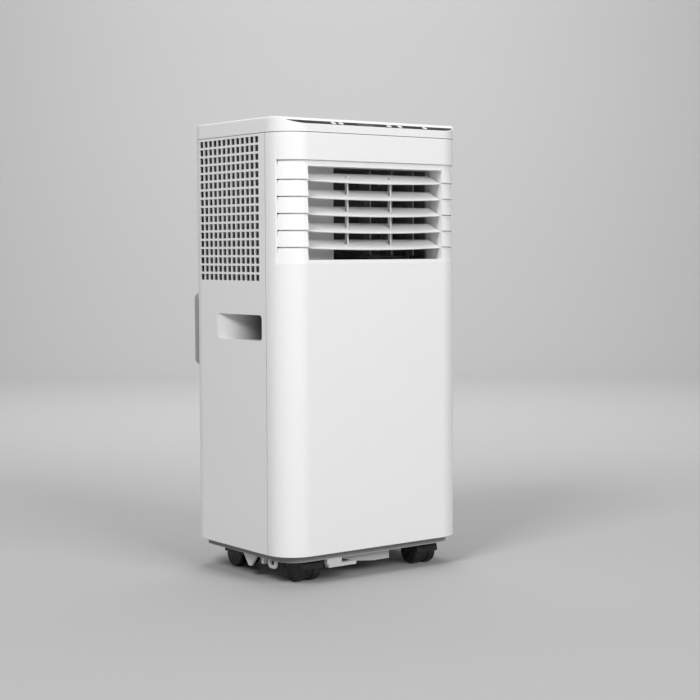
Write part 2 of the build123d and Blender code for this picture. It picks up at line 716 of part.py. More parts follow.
# ---------------------------------------------------------------- rear fittings
def filter_frame():
    """The air filter's frame: a flange over the window's edge, level bars and two finger ears."""
    half = FILTER_WIDTH / 2
    low, high = Z_CASE + FILTER_LOW, Z_CASE + FILTER_HIGH
    inner = Y_BACK - WALL
    flange = FILTER_FLANGE
    with BuildPart() as frame:
        block(-half + FIT, half - FIT, inner, Y_BACK + FILTER_PROUD, low + FIT, high - FIT)
        block(
            -half - flange, half + flange, Y_BACK + FIT / 4, Y_BACK + FILTER_PROUD,
            low - flange, high + flange,
        )
        pitch = (high - low - 2 * flange) / (FILTER_BARS + 1)
        opening = pitch - flange / 2
        for number in range(FILTER_BARS + 1):
            z = low + flange + (number + 0.5) * pitch
            block(
                -half + flange, half - flange, inner - PAST, Y_BACK + FILTER_PROUD + PAST,
                z - opening / 2, z + opening / 2, Mode.SUBTRACT,
            )
        ear_low, ear_high = Z_CASE + EAR_LOW, Z_CASE + EAR_HIGH
        for side in SIDES.values():
            root, tip = side * half, side * EAR_OUT
            block(
                *sorted((root - side * flange / 2, root + side * flange)), Y_BACK + FIT / 4,
                Y_BACK + EAR_REACH, ear_low, ear_high,
            )
            block(
                *sorted((root, tip)), Y_BACK + EAR_REACH - EAR_THICK, Y_BACK + EAR_REACH, ear_low, ear_high,
            )
            block(
                *sorted((tip, tip - side * EAR_LIP[0])), Y_BACK + EAR_REACH - EAR_LIP[1],
                Y_BACK + EAR_REACH, ear_low, ear_high,
            )
    return frame


def filter_mesh():
    """The filter's fine screen, held against the inner side of the frame."""
    half = FILTER_WIDTH / 2 - FIT
    with BuildPart() as screen:
        block(
            -half, half, Y_BACK - WALL - MESH_THICK, Y_BACK - WALL,
            Z_CASE + FILTER_LOW + FIT, Z_CASE + FILTER_HIGH - FIT,
        )
    return screen


def intake_grille():
    """The lower rear air inlet: a slotted plate in its window."""
    half = INTAKE_WIDTH / 2 - FIT
    low, high = Z_CASE + INTAKE_LOW + FIT, Z_CASE + INTAKE_HIGH - FIT
    with BuildPart() as grille:
        block(-half, half, Y_BACK - WALL, Y_BACK, low, high)
        with BuildSketch(front_plane(Y_BACK - WALL - PAST)):
            with Locations((0, -(low + high) / 2)):
                with GridLocations(INTAKE_WIDTH / (INTAKE_SLOTS + 1), (high - low) / 2, INTAKE_SLOTS, 2):
                    SlotOverall((high - low) / 2 - 3 * INTAKE_SLOT_WIDTH, INTAKE_SLOT_WIDTH, rotation=90)
        extrude(amount=WALL + 2 * PAST, mode=Mode.SUBTRACT)
    return grille


def exhaust_collar():
    """The round collar that takes the exhaust hose, with a guard across its inner end."""
    z = Z_CASE + COLLAR_HEIGHT
    with BuildPart() as collar:
        rod((COLLAR_X, Y_BACK, z), (COLLAR_X, Y_BACK + COLLAR_FLANGE_THICK, z), COLLAR_FLANGE)
        rod((COLLAR_X, Y_BACK, z), (COLLAR_X, Y_BACK + REAR_REACH, z), COLLAR_BORE + COLLAR_WALL)
        start, end = (COLLAR_X, Y_BACK - PAST, z), (COLLAR_X, Y_BACK + REAR_REACH + PAST, z)
        rod(start, end, COLLAR_BORE, Mode.SUBTRACT)
        for x, y, height in collar_screws():
            rod((x, Y_BACK - PAST, height), (x, y, height), SCREW_SHANK, Mode.SUBTRACT)
    return collar


def exhaust_guard():
    """A finger guard in the fan housing's mouth: three rings on a cross."""
    z = Z_CASE + COLLAR_HEIGHT
    bar = COLLAR_WALL
    outer = FAN_RADIUS + FAN_CLEAR
    with BuildPart() as guard:
        with BuildSketch(front_plane(Y_BACK - WALL - GUARD_THICK)):
            with Locations((COLLAR_X, -z)):
                for radius in (outer, outer * GUARD_RINGS[0], outer * GUARD_RINGS[1]):
                    Circle(radius)
                    Circle(radius - bar, mode=Mode.SUBTRACT)
                Rectangle(2 * outer - bar, bar)
                Rectangle(bar, 2 * outer - bar)
        extrude(amount=GUARD_THICK)
    return guard


def cord_winder():
    """The upright hook plate that the mains lead is wound on."""
    low, high = Z_CASE + WINDER_LOW, Z_CASE + WINDER_HIGH
    middle = (low + high) / 2
    with BuildPart() as winder:
        with BuildSketch(front_plane(Y_BACK)):
            with Locations((WINDER_X, -middle)):
                RectangleRounded(*WINDER_NECK, WINDER_NECK[0] / 4)
        extrude(amount=REAR_REACH - WINDER_PLATE)
        with BuildSketch(front_plane(Y_BACK + REAR_REACH - WINDER_PLATE)):
            with Locations((WINDER_X, -middle)):
                RectangleRounded(WINDER_WIDTH, high - low, WINDER_WIDTH / 4)
        extrude(amount=WINDER_PLATE)
        fillet(winder.faces().sort_by(Axis.Y)[-1].edges(), WINDER_EDGE)
    return winder


def cord_gland():
    """The bush that the mains lead leaves through."""
    z = Z_CASE + GLAND_HEIGHT
    with BuildPart() as gland:
        rod((GLAND_X, Y_BACK - WALL, z), (GLAND_X, Y_BACK, z), GLAND_RADIUS - FIT / 4)
        rod((GLAND_X, Y_BACK, z), (GLAND_X, Y_BACK + 3 * WALL, z), GLAND_RADIUS + WALL)
        fillet(gland.faces().sort_by(Axis.Y)[-1].edges(), WALL / 2)
        start, end = (GLAND_X, Y_BACK - 2 * WALL, z), (GLAND_X, Y_BACK + 4 * WALL, z)
        rod(start, end, LEAD_BORE, Mode.SUBTRACT)
    return gland


def drain_plugs():
    """Two equal rubber drain bungs with pull rims, one solid each."""
    with BuildPart() as plugs:
        for z in (Z_CASE + DRAIN_LOW, Z_CASE + DRAIN_HIGH):
            rod((DRAIN_X, Y_BACK - WALL, z), (DRAIN_X, Y_BACK + WALL, z), DRAIN_RADIUS - FIT)
            rod((DRAIN_X, Y_BACK + FIT / 4, z), (DRAIN_X, Y_BACK + 2 * WALL, z), DRAIN_RADIUS + WALL)
        fillet(plugs.faces().group_by(Axis.Y)[-1].edges(), WALL / 2)
    return plugs


def collar_screws():
    """Seats of the four screws round the collar's flange."""
    ring = (COLLAR_FLANGE + COLLAR_BORE + COLLAR_WALL) / 2
    middle = Z_CASE + COLLAR_HEIGHT
    return [
        (COLLAR_X + ring * cos(radians(a)), Y_BACK + COLLAR_FLANGE_THICK, middle + ring * sin(radians(a)))
        for a in (45, 135, 225, 315)
    ]


def rim_screws():
    """Seats of the screws that hold the housing to the base pan's rim."""
    z = Z_CASE + PAN_RIM / 2
    return [(x, Y_BACK, z) for x in RIM_SCREWS]


def screw_places():
    """Every case screw's seat."""
    return collar_screws() + rim_screws()


def case_screws():
    """Pan head screws, one solid each."""
    with BuildPart() as screws:
        for x, y, z in screw_places():
            rod((x, y - SCREW_LENGTH, z), (x, y, z), SCREW_SHANK)
            rod((x, y, z), (x, y + SCREW_HEAD[1], z), SCREW_HEAD[0])
    return screws


# ---------------------------------------------------------------- base and castors
CASTORS = {
    "front_left": (FRONT_CASTORS[0], Y_FRONT + CASTOR_FRONT, 180 + CASTOR_YAW),
    "front_right": (FRONT_CASTORS[1], Y_FRONT + CASTOR_FRONT, 180 + CASTOR_YAW),
    "rear_left": (REAR_CASTORS[0], Y_BACK - CASTOR_REAR, 0),
    "rear_right": (REAR_CASTORS[1], Y_BACK - CASTOR_REAR, 0),
}
STEM_TOP = WELL_TOP + STEM_LENGTH


def well_discs(radius, low, high, mode=Mode.ADD):
    """A disc at each castor's swivel axis, from low to high."""
    with BuildSketch(Plane.XY.offset(low)) as discs:
        with Locations(*[(x, y) for x, y, _ in CASTORS.values()]):
            Circle(radius)
    extrude(discs.sketch, amount=high - low, mode=mode)


def base_pan():
    """The moulded base: a stepped floor, a rim inside the case, four wheel wells and parts below."""
    inset = WALL + PAN_GAP
    z_step = Z_CASE - PAN_LIP
    rim_top = Z_CASE + PAN_RIM
    with BuildPart() as pan:
        extrude(plan(inset, z_step), amount=rim_top - z_step)
        extrude(plan(PAN_INSET, Z_PAN), amount=z_step - Z_PAN)
        z_floor = z_step + PAN_FLOOR
        extrude(plan(inset + PAN_WALL, z_floor), amount=rim_top - z_floor, mode=Mode.SUBTRACT)
        z_floor = Z_PAN + PAN_FLOOR
        extrude(plan(PAN_INSET + PAN_WALL, z_floor), amount=rim_top - z_floor, mode=Mode.SUBTRACT)
        well_discs(WELL_RADIUS + PAN_WALL, Z_PAN, WELL_TOP + PAN_FLOOR)
        well_discs(WELL_RADIUS, Z_PAN - PAST, WELL_TOP, Mode.SUBTRACT)
        well_discs(SOCKET_RADIUS + PAN_WALL, WELL_TOP, WELL_TOP + SOCKET_LENGTH)
        well_discs(SOCKET_RADIUS, WELL_TOP - PAST, WELL_TOP + SOCKET_LENGTH + PAST, Mode.SUBTRACT)
        for x, y, z in rim_screws():
            rod((x, Y_BACK - WALL - 2 * PAN_WALL, z), (x, y, z), SCREW_SHANK, Mode.SUBTRACT)
        for x0, x1, front, back, top, bottom in FEET:
            block(x0, x1, Y_FRONT + front, Y_FRONT + back, Z_CASE - bottom, Z_CASE - top)
        with BuildSketch(front_plane(Y_FRONT + CHUTE_SETBACK[0])) as chute:
            with BuildLine():
                Polyline(*[(x, drop - Z_CASE) for x, drop in CHUTE_OUTLINE], close=True)
            make_face()
        extrude(chute.sketch, amount=CHUTE_SETBACK[1] - CHUTE_SETBACK[0])
        with BuildSketch(side_plane(GUSSET_X[0])) as gusset:
            with BuildLine():
                Polyline(*[(Y_FRONT + back, Z_CASE - drop) for back, drop in GUSSET_OUTLINE], close=True)
            make_face()
        extrude(gusset.sketch, amount=GUSSET_X[1] - GUSSET_X[0])
        y0, y1 = Y_FRONT + HOOK_SETBACK[0], Y_FRONT + HOOK_SETBACK[1]
        z0, z1 = Z_CASE - HOOK_DROP[0], Z_CASE - HOOK_DROP[1]
        with BuildLine() as path:
            FilletPolyline(
                (HOOK_X, y0, Z_PAN + PAN_FLOOR / 2), (HOOK_X, y0, z0), (HOOK_X, y1, z0), (HOOK_X, y1, z1),
                radius=HOOK_BEND,
            )
        with BuildSketch(Plane(origin=(HOOK_X, y0, Z_PAN + PAN_FLOOR / 2), z_dir=(0, 0, -1))) as section:
            Circle(HOOK_RADIUS)
        sweep(section.sketch, path=path.wires()[0])
    return pan


def castor_sockets():
    """Four plain bushes that the castor stems turn in."""
    with BuildPart() as sockets:
        for x, y, _ in CASTORS.values():
            rod((x, y, WELL_TOP), (x, y, WELL_TOP + SOCKET_LENGTH), SOCKET_RADIUS)
            start, end = (x, y, WELL_TOP - PAST), (x, y, STEM_TOP + STEM_SPARE)
            rod(start, end, STEM_RADIUS + STEM_PLAY, Mode.SUBTRACT)
    return sockets


def placed_castor(name, piece):
    """The same piece, turned and moved to its castor's place."""
    x, y, yaw = CASTORS[name]
    with BuildPart() as placed:
        with Locations(Location((x, y, 0), (0, 0, yaw))):
            add(piece.part)
    return placed


def castor_yoke(name):
    """A castor's hub between its wheels, with a hood, an axle and a swivel stem."""
    hub = WHEEL_GAP - 2 * HUB_PLAY
    outer = WHEEL_RADIUS + HOOD_CLEAR
    width = WHEEL_GAP + 2 * WHEEL_WIDTH
    plane = Plane(origin=(-hub / 2, TRAIL, WHEEL_RADIUS), x_dir=(0, 1, 0), z_dir=(1, 0, 0))
    with BuildPart() as yoke:
        with BuildSketch(plane):
            Circle(WHEEL_RADIUS - HOOD_CLEAR)
            Rectangle(2 * (WHEEL_RADIUS - HOOD_CLEAR), WHEEL_RADIUS, align=(Align.CENTER, Align.MIN))
            with Locations((-TRAIL, WELL_TOP - WHEEL_RADIUS - HOOD_CLEAR)):
                Rectangle(3 * STEM_RADIUS, WELL_TOP - WHEEL_RADIUS, align=(Align.CENTER, Align.MAX))
        extrude(amount=hub)
        with BuildSketch(plane.offset(hub / 2 - width / 2)):
            Circle(outer + WALL)
            Circle(outer, mode=Mode.SUBTRACT)
            Rectangle(3 * outer, 3 * outer, align=(Align.CENTER, Align.MAX), mode=Mode.SUBTRACT)
        extrude(amount=width)
        rod((0, 0, outer + WHEEL_RADIUS), (0, 0, WELL_TOP - HOOD_CLEAR / 2), SOCKET_RADIUS)
        rod((0, 0, WHEEL_RADIUS), (0, 0, STEM_TOP), STEM_RADIUS)
        rod((-width / 2, TRAIL, WHEEL_RADIUS), (width / 2, TRAIL, WHEEL_RADIUS), AXLE_RADIUS)
    return placed_castor(name, yoke)


def castor_wheels(name):
    """A castor's two wheels, running on its axle."""
    with BuildPart() as wheels:
        for side in SIDES.values():
            inner, outer = side * WHEEL_GAP / 2, side * (WHEEL_GAP / 2 + WHEEL_WIDTH)
            plane = Plane(origin=(0, TRAIL, WHEEL_RADIUS), x_dir=(1, 0, 0), z_dir=(0, -1, 0))
            with BuildSketch(plane) as section:
                with Locations(((inner + outer) / 2, 0)):
                    Rectangle(WHEEL_WIDTH, WHEEL_RADIUS, align=(Align.CENTER, Align.MIN))
                fillet(section.vertices().group_by(Axis.Z)[-1], WHEEL_ROUND)
            revolve(axis=Axis((0, TRAIL, WHEEL_RADIUS), (1, 0, 0)))
        bore = AXLE_RADIUS + AXLE_PLAY
        reach = WHEEL_GAP / 2 + 2 * WHEEL_WIDTH
        rod((-reach, TRAIL, WHEEL_RADIUS), (reach, TRAIL, WHEEL_RADIUS), bore, Mode.SUBTRACT)
    return placed_castor(name, wheels)


# ---------------------------------------------------------------- inside
def chamber_deck():
    """The shelf between the cold chamber above and the hot chamber below."""
    with BuildPart() as deck:
        extrude(plan(WALL + PAN_GAP, Z_DECK), amount=DECK_THICK)
        for x in PIPE_PLACES:
            start, end = (x, Y_PIPE, Z_DECK - PAST), (x, Y_PIPE, Z_DECK + DECK_THICK + PAST)
            rod(start, end, PIPE_RADIUS + FIT, Mode.SUBTRACT)
    return deck


def spoke_tips(x, z, radius):
    """Ends of the three spokes that hold a motor in a round inlet, rooted in its edge."""
    reach = radius + SPOKE_ROOT
    return [(x + reach * cos(radians(a)), z + reach * sin(radians(a))) for a in SPOKE_ANGLES]


def blower_housing():
    """The scroll round the blower: a round inlet behind, a square mouth in front that meets the duct."""
    half = OUTLET_WIDTH / 2
    reach = BLOWER_RADIUS + SCROLL_CLEAR
    y0, y1 = Y_DUCT, Y_SCROLL
    mid_x, mid_z = BLOWER_X, Z_CASE + BLOWER_HEIGHT
    with BuildPart() as housing:
        block(
            mid_x - reach - SCROLL_WALL, half + DUCT_WALL, y0, y1,
            Z_DECK + DECK_THICK, mid_z + reach + SCROLL_WALL,
        )
        rod((mid_x, y0 + SCROLL_WALL, mid_z), (mid_x, y1 - SCROLL_WALL, mid_z), reach, Mode.SUBTRACT)
        block(
            DUCT_LEFT, half, y0 - PAST, y1 - SCROLL_WALL, Z_OUT_LOW, Z_OUT_HIGH, Mode.SUBTRACT,
        )
        start, end = (mid_x, y1 - SCROLL_WALL - PAST, mid_z), (mid_x, y1 + PAST, mid_z)
        rod(start, end, BLOWER_INLET, Mode.SUBTRACT)
        for tip_x, tip_z in spoke_tips(mid_x, mid_z, BLOWER_INLET):
            rod((mid_x, y1, mid_z), (tip_x, y1, tip_z), SPOKE_RADIUS)
        rod((mid_x, y1 - SPOKE_RADIUS, mid_z), (mid_x, y1 + SPOKE_RADIUS, mid_z), MOTOR_RADIUS / 2)
        rod((mid_x, y0 - PAST, mid_z), (mid_x, y1 + BIG, mid_z), MOTOR_BOSS, Mode.SUBTRACT)
    return housing


def bladed_wheel(x, z, y_disc, radius, width, blades, shaft_end):
    """A centrifugal wheel with a back disc, blades, a front ring, a hub and its shaft along Y."""
    depth = radius * BLADE_SHARE
    with BuildPart() as wheel:
        rod((x, y_disc, z), (x, y_disc + DISC_THICK, z), radius)
        with BuildSketch(front_plane(y_disc + width - DISC_THICK)):
            with Locations((x, -z)):
                Circle(radius)
                Circle(radius - depth / 3, mode=Mode.SUBTRACT)
        extrude(amount=DISC_THICK)
        with BuildSketch(front_plane(y_disc)):
            with Locations((x, -z)):
                with PolarLocations(radius - depth / 2, blades):
                    Rectangle(depth * BLADE_REACH, SCROLL_WALL / 2, rotation=BLADE_ANGLE)
        extrude(amount=width)
        rod((x, y_disc, z), (x, y_disc + width / 2, z), 3 * SHAFT_RADIUS)
        rod((x, y_disc, z), (x, shaft_end, z), SHAFT_RADIUS)
    return wheel


def motor(x, z, y0, y1, shaft_depth):
    """A round motor with a boss on each end and a bore that its wheel's shaft turns in."""
    with BuildPart() as body:
        rod((x, y0, z), (x, y1, z), MOTOR_RADIUS)
        fillet(body.edges().filter_by(GeomType.CIRCLE), MOTOR_RADIUS / 8)
        rod((x, y0 - MOTOR_BOSS / 2, z), (x, y1, z), MOTOR_BOSS - FIT)
        rod((x, y0 - MOTOR_BOSS, z), (x, y0 + shaft_depth, z), SHAFT_RADIUS + AXLE_PLAY, Mode.SUBTRACT)
    return body


def coil(width, y0, low, high, foot):
    """A finned heat exchanger: a fin pack between two end plates that stand on foot, with return bends."""
    half = width / 2
    rows = int((high - low) / COIL_ROW)
    with BuildPart() as exchanger:
        block(-half, half, y0 + PLATE_PROUD, y0 + COIL_DEPTH - PLATE_PROUD, low, high)
        for y in (y0, y0 + COIL_DEPTH - GROOVE_DEPTH):
            with BuildSketch(front_plane(y)) as grooves:
                with Locations((0, -(low + high) / 2)):
                    with GridLocations(width / (COIL_GROOVES + 1), 0, COIL_GROOVES, 1):
                        Rectangle(GROOVE_WIDTH, high - low - 2 * GROOVE_MARGIN)
            extrude(grooves.sketch, amount=GROOVE_DEPTH, mode=Mode.SUBTRACT)
        for side in SIDES.values():
            x0, x1 = sorted((side * half, side * (half - END_PLATE)))
            block(x0, x1, y0, y0 + COIL_DEPTH, foot, high)
            x0, x1 = sorted((side * (half - END_PLATE / 2), side * (half + PIPE_RADIUS)))
            for row in range(rows):
                z = low + (row + 0.5) * (high - low) / rows
                block(
                    x0, x1, y0 + COIL_DEPTH / 4, y0 + 3 * COIL_DEPTH / 4,
                    z - PIPE_RADIUS, z + PIPE_RADIUS,
                )
    return exchanger


def drip_tray():
    """The trough under the cold coil that leads its water to the upper drain."""
    y0, y1 = Y_COLD - TRAY_SPARE, Y_COLD + COIL_DEPTH + TRAY_SPARE
    low = Z_DECK + DECK_THICK
    half = COLD_COIL_WIDTH / 2 + TRAY_SPARE
    with BuildPart() as tray:
        block(-half, half, y0, y1, low, low + TRAY_HEIGHT)
        block(
            -half + WALL, half - WALL, y0 + WALL, y1 - WALL,
            low + WALL, low + TRAY_HEIGHT + PAST, Mode.SUBTRACT,
        )
        for x in (-half / 2, 0, half / 2):
            block(x - WALL, x + WALL, y0 + WALL / 2, y1 - WALL / 2, low + WALL / 2, low + TRAY_REST)
    return tray


def fan_housing():
    """The round housing that blows the hot air out through the collar."""
    reach = FAN_RADIUS + FAN_CLEAR
    y0, y1 = Y_FAN, Y_BACK - WALL
    x, z = COLLAR_X, Z_CASE + COLLAR_HEIGHT
    with BuildPart() as housing:
        rod((x, y0, z), (x, y1, z), reach + SCROLL_WALL)
        rod((x, y0 + SCROLL_WALL, z), (x, y1 + PAST, z), reach, Mode.SUBTRACT)
        rod((x, y0 - PAST, z), (x, y1, z), FAN_INLET, Mode.SUBTRACT)
        for tip_x, tip_z in spoke_tips(x, z, FAN_INLET):
            rod((x, y0, z), (tip_x, y0, tip_z), SPOKE_RADIUS)
        rod((x, y0 - SPOKE_RADIUS, z), (x, y0 + SPOKE_RADIUS, z), MOTOR_RADIUS / 2)
        rod((x, y0 - BIG, z), (x, y1 + PAST, z), MOTOR_BOSS, Mode.SUBTRACT)
    return housing


def fan_wheel():
    """The hot air fan: a hub with tilted blades and its shaft."""
    x, z = COLLAR_X, Z_CASE + COLLAR_HEIGHT
    y0 = Y_FAN + SCROLL_WALL + WHEEL_CLEAR
    tilt = radians(FAN_TILT)
    shaft_end = Y_FAN - SPOKE_RADIUS - SHAFT_DEPTH + SHAFT_SPARE
    with BuildPart() as wheel:
        rod((x, y0, z), (x, y0 + FAN_WIDTH, z), FAN_HUB)
        for number in range(FAN_BLADES):
            turn = 2 * pi * number / FAN_BLADES
            normal = (-sin(turn) * sin(tilt), cos(tilt), cos(turn) * sin(tilt))
            plane = Plane(origin=(x, y0 + FAN_WIDTH / 2, z), x_dir=(cos(turn), 0, sin(turn)), z_dir=normal)
            with BuildSketch(plane):
                with Locations(((FAN_HUB + FAN_RADIUS) / 2 - BLADE_ROOT, 0)):
                    Rectangle(FAN_RADIUS - FAN_HUB, FAN_WIDTH)
            extrude(amount=DISC_THICK / 2, both=True)
        rod((x, shaft_end, z), (x, y0 + FAN_WIDTH / 2, z), SHAFT_RADIUS)
    return wheel


def fan_motor():
    """The hot air fan's motor, ahead of its housing."""
    x, z = COLLAR_X, Z_CASE + COLLAR_HEIGHT
    y1 = Y_FAN - SPOKE_RADIUS
    with BuildPart() as body:
        rod((x, y1 - MOTOR_LENGTH, z), (x, y1, z), MOTOR_RADIUS)
        fillet(body.edges().filter_by(GeomType.CIRCLE), MOTOR_RADIUS / 8)
        rod((x, y1 - MOTOR_LENGTH, z), (x, y1 + MOTOR_BOSS / 2, z), MOTOR_BOSS - FIT)
        rod((x, y1 - SHAFT_DEPTH, z), (x, y1 + MOTOR_BOSS, z), SHAFT_RADIUS + AXLE_PLAY, Mode.SUBTRACT)
    return body


def compressor():
    """The hermetic compressor: a domed steel can with three feet and two stubs."""
    x, y = COMPRESSOR_X, Y_FRONT + COMPRESSOR_SETBACK
    low = Z_PAN + PAN_FLOOR + MOUNT_HEIGHT
    top = low + COMPRESSOR_HEIGHT
    with BuildPart() as can:
        rod((x, y, low), (x, y, top), COMPRESSOR_RADIUS)
        fillet(can.edges().filter_by(GeomType.CIRCLE), COMPRESSOR_RADIUS / 3)
        with BuildSketch(Plane.XY.offset(low)):
            with Locations((x, y)):
                with PolarLocations(FOOT_RING, 3, start_angle=FOOT_ANGLE):
                    SlotOverall(COMPRESSOR_RADIUS, COMPRESSOR_RADIUS / 2)
        extrude(amount=DECK_THICK)
        for stub_x in PIPE_PLACES:
            rod(
                (stub_x, y, top - COMPRESSOR_RADIUS / 2), (stub_x, y, top + PIPE_RADIUS),
                PIPE_RADIUS + STUB_WALL,
            )
    return can


def compressor_mounts():
    """Three rubber mounts between the compressor's feet and the base pan."""
    x, y = COMPRESSOR_X, Y_FRONT + COMPRESSOR_SETBACK
    with BuildPart() as mounts:
        with BuildSketch(Plane.XY.offset(Z_PAN + PAN_FLOOR)):
            with Locations((x, y)):
                with PolarLocations(MOUNT_RING, 3, start_angle=FOOT_ANGLE):
                    Circle(MOUNT_RADIUS)
        extrude(amount=MOUNT_HEIGHT)
    return mounts


def refrigerant_pipes():
    """Two copper pipes from the compressor up through the deck to the cold coil."""
    y = Y_FRONT + COMPRESSOR_SETBACK
    low = Z_PAN + PAN_FLOOR + MOUNT_HEIGHT + COMPRESSOR_HEIGHT + PIPE_RADIUS
    with BuildPart() as pipes:
        for x in PIPE_PLACES:
            with BuildLine() as path:
                FilletPolyline(
                    (x, y, low), (x, y, low + PIPE_RISE), (x, Y_PIPE, low + PIPE_RISE),
                    (x, Y_PIPE, Z_DECK + PIPE_STUB), radius=PIPE_BEND,
                )
            with BuildSketch(Plane(origin=(x, y, low), z_dir=(0, 0, 1))):
                Circle(PIPE_RADIUS)
            sweep(path=path.wires()[0])
    return pipes


def electrics_box():
    """The box on the deck's front part for the control electronics."""
    x0 = -WIDTH / 2 + FRONT_RADIUS
    y0 = Y_FRONT + DUCT_BACK - BOARD_BOX[1]
    low = Z_DECK + DECK_THICK
    with BuildPart() as box:
        block(x0, x0 + BOARD_BOX[0], y0, y0 + BOARD_BOX[1], low, low + BOARD_BOX[2])
        block(
            x0 + WALL, x0 + BOARD_BOX[0] - WALL, y0 + WALL, y0 + BOARD_BOX[1] - WALL,
            low + WALL, low + BOARD_BOX[2] + PAST, Mode.SUBTRACT,
        )
    return box


def control_board():
    """The circuit board standing in the electrics box, with its larger parts."""
    x0 = -WIDTH / 2 + FRONT_RADIUS + WALL + FIT
    y0 = Y_FRONT + DUCT_BACK - BOARD_BOX[1] / 2
    low = Z_DECK + DECK_THICK + WALL
    wide, high = BOARD_BOX[0] - 2 * WALL - 2 * FIT, BOARD_BOX[2] - WALL
    with BuildPart() as board:
        block(x0, x0 + wide, y0, y0 + BOARD_THICK, low, low + high)
        for across, up, radius in BOARD_PARTS:
            rod((x0 + across, y0 - radius, low + up), (x0 + across, y0, low + up), radius)
    return board


# ---------------------------------------------------------------- export
def write(node, label):
    """Writes one node's STEP file under its name."""
    node.part.label = label
    export_step(node.part, f"parts/{label}.step")


os.makedirs("parts", exist_ok=True)
write(front_shell(), "front_shell")
write(rear_housing(), "rear_housing")
write(top_lid(), "top_lid")
write(control_panel(), "control_panel")
write(display_window(), "display_window")
for number, place in enumerate(BUTTON_PLACES, 1):
    write(button(place), f"button_{number}")
for side_name, side_sign in SIDES.items():
    write(side_grille(side_sign), f"side_grille_{side_name}")
    write(handle_pocket(side_sign), f"handle_pocket_{side_name}")
write(louvre_bezel(), "louvre_bezel")
for number in range(1, BLADE_COUNT + 1):
    write(louvre_blade(number), f"louvre_blade_{number}")
write(louvre_link(), "louvre_link")
write(air_duct(), "air_duct")
for number, place in enumerate(VANE_PLACES, 1):
    write(vane(place), f"vane_{number}")
write(vane_link(), "vane_link")
write(filter_frame(), "filter_frame")
write(filter_mesh(), "filter_mesh")
write(intake_grille(), "intake_grille")
write(exhaust_collar(), "exhaust_collar")
write(exhaust_guard(), "exhaust_guard")
write(cord_winder(), "cord_winder")
write(cord_gland(), "cord_gland")
write(drain_plugs(), "drain_plugs")
write(case_screws(), "case_screws")
write(base_pan(), "base_pan")
write(castor_sockets(), "castor_sockets")
for castor in CASTORS:
    write(castor_yoke(castor), f"castor_{castor}_yoke")
    write(castor_wheels(castor), f"castor_{castor}_wheels")
write(chamber_deck(), "chamber_deck")
write(blower_housing(), "blower_housing")
blower_disc = Y_DUCT + WHEEL_CLEAR
blower_back = Y_SCROLL + SPOKE_RADIUS
blower_wheel = bladed_wheel(
    BLOWER_X, Z_CASE + BLOWER_HEIGHT, blower_disc, BLOWER_RADIUS, BLOWER_WIDTH, BLOWER_BLADES,
    blower_back + SHAFT_DEPTH - SHAFT_SPARE,
)
write(blower_wheel, "blower_wheel")
blower_motor = motor(
    BLOWER_X, Z_CASE + BLOWER_HEIGHT, blower_back, blower_back + MOTOR_LENGTH, SHAFT_DEPTH,
)
write(blower_motor, "blower_motor")
cold_low = Z_DECK + DECK_THICK + TRAY_REST
write(coil(COLD_COIL_WIDTH, Y_COLD, cold_low, Z_LID - TRAY_SPARE, cold_low), "evaporator_coil")
hot_low, hot_high = Z_CASE + HOT_COIL_LOW, Z_CASE + HOT_COIL_HIGH
write(coil(HOT_COIL_WIDTH, Y_HOT, hot_low, hot_high, WELL_TOP + PAN_FLOOR), "condenser_coil")
write(drip_tray(), "drip_tray")
write(fan_housing(), "exhaust_fan_housing")
write(fan_wheel(), "exhaust_fan_wheel")
write(fan_motor(), "exhaust_fan_motor")
write(compressor(), "compressor")
write(compressor_mounts(), "compressor_mounts")
write(refrigerant_pipes(), "refrigerant_pipes")
write(electrics_box(), "electrics_box")
write(control_board(), "control_board")
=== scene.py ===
"""A compact portable air conditioner on castors: finishes, fine pieces, studio and camera, in metres."""

import json
import logging
import math
from dataclasses import dataclass, field
from enum import Enum

import bpy
import numpy as np
from mathutils import Matrix, Vector


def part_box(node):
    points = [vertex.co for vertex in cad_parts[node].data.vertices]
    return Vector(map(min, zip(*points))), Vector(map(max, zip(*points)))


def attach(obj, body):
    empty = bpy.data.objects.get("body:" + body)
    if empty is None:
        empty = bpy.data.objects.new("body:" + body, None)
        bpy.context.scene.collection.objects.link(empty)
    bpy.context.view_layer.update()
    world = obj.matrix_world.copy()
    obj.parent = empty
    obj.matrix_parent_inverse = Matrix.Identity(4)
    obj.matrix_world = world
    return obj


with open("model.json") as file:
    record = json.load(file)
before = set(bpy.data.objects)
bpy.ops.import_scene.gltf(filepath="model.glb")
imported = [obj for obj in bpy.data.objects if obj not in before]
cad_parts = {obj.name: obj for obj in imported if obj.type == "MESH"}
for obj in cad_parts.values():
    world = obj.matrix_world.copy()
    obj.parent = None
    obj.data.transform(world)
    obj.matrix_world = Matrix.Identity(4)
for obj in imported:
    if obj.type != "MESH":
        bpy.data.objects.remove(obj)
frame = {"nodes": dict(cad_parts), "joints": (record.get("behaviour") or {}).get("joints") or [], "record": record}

MM = 0.001
TAU = 2 * math.pi
Colour = tuple[float, float, float]
log = logging.getLogger("air_conditioner")


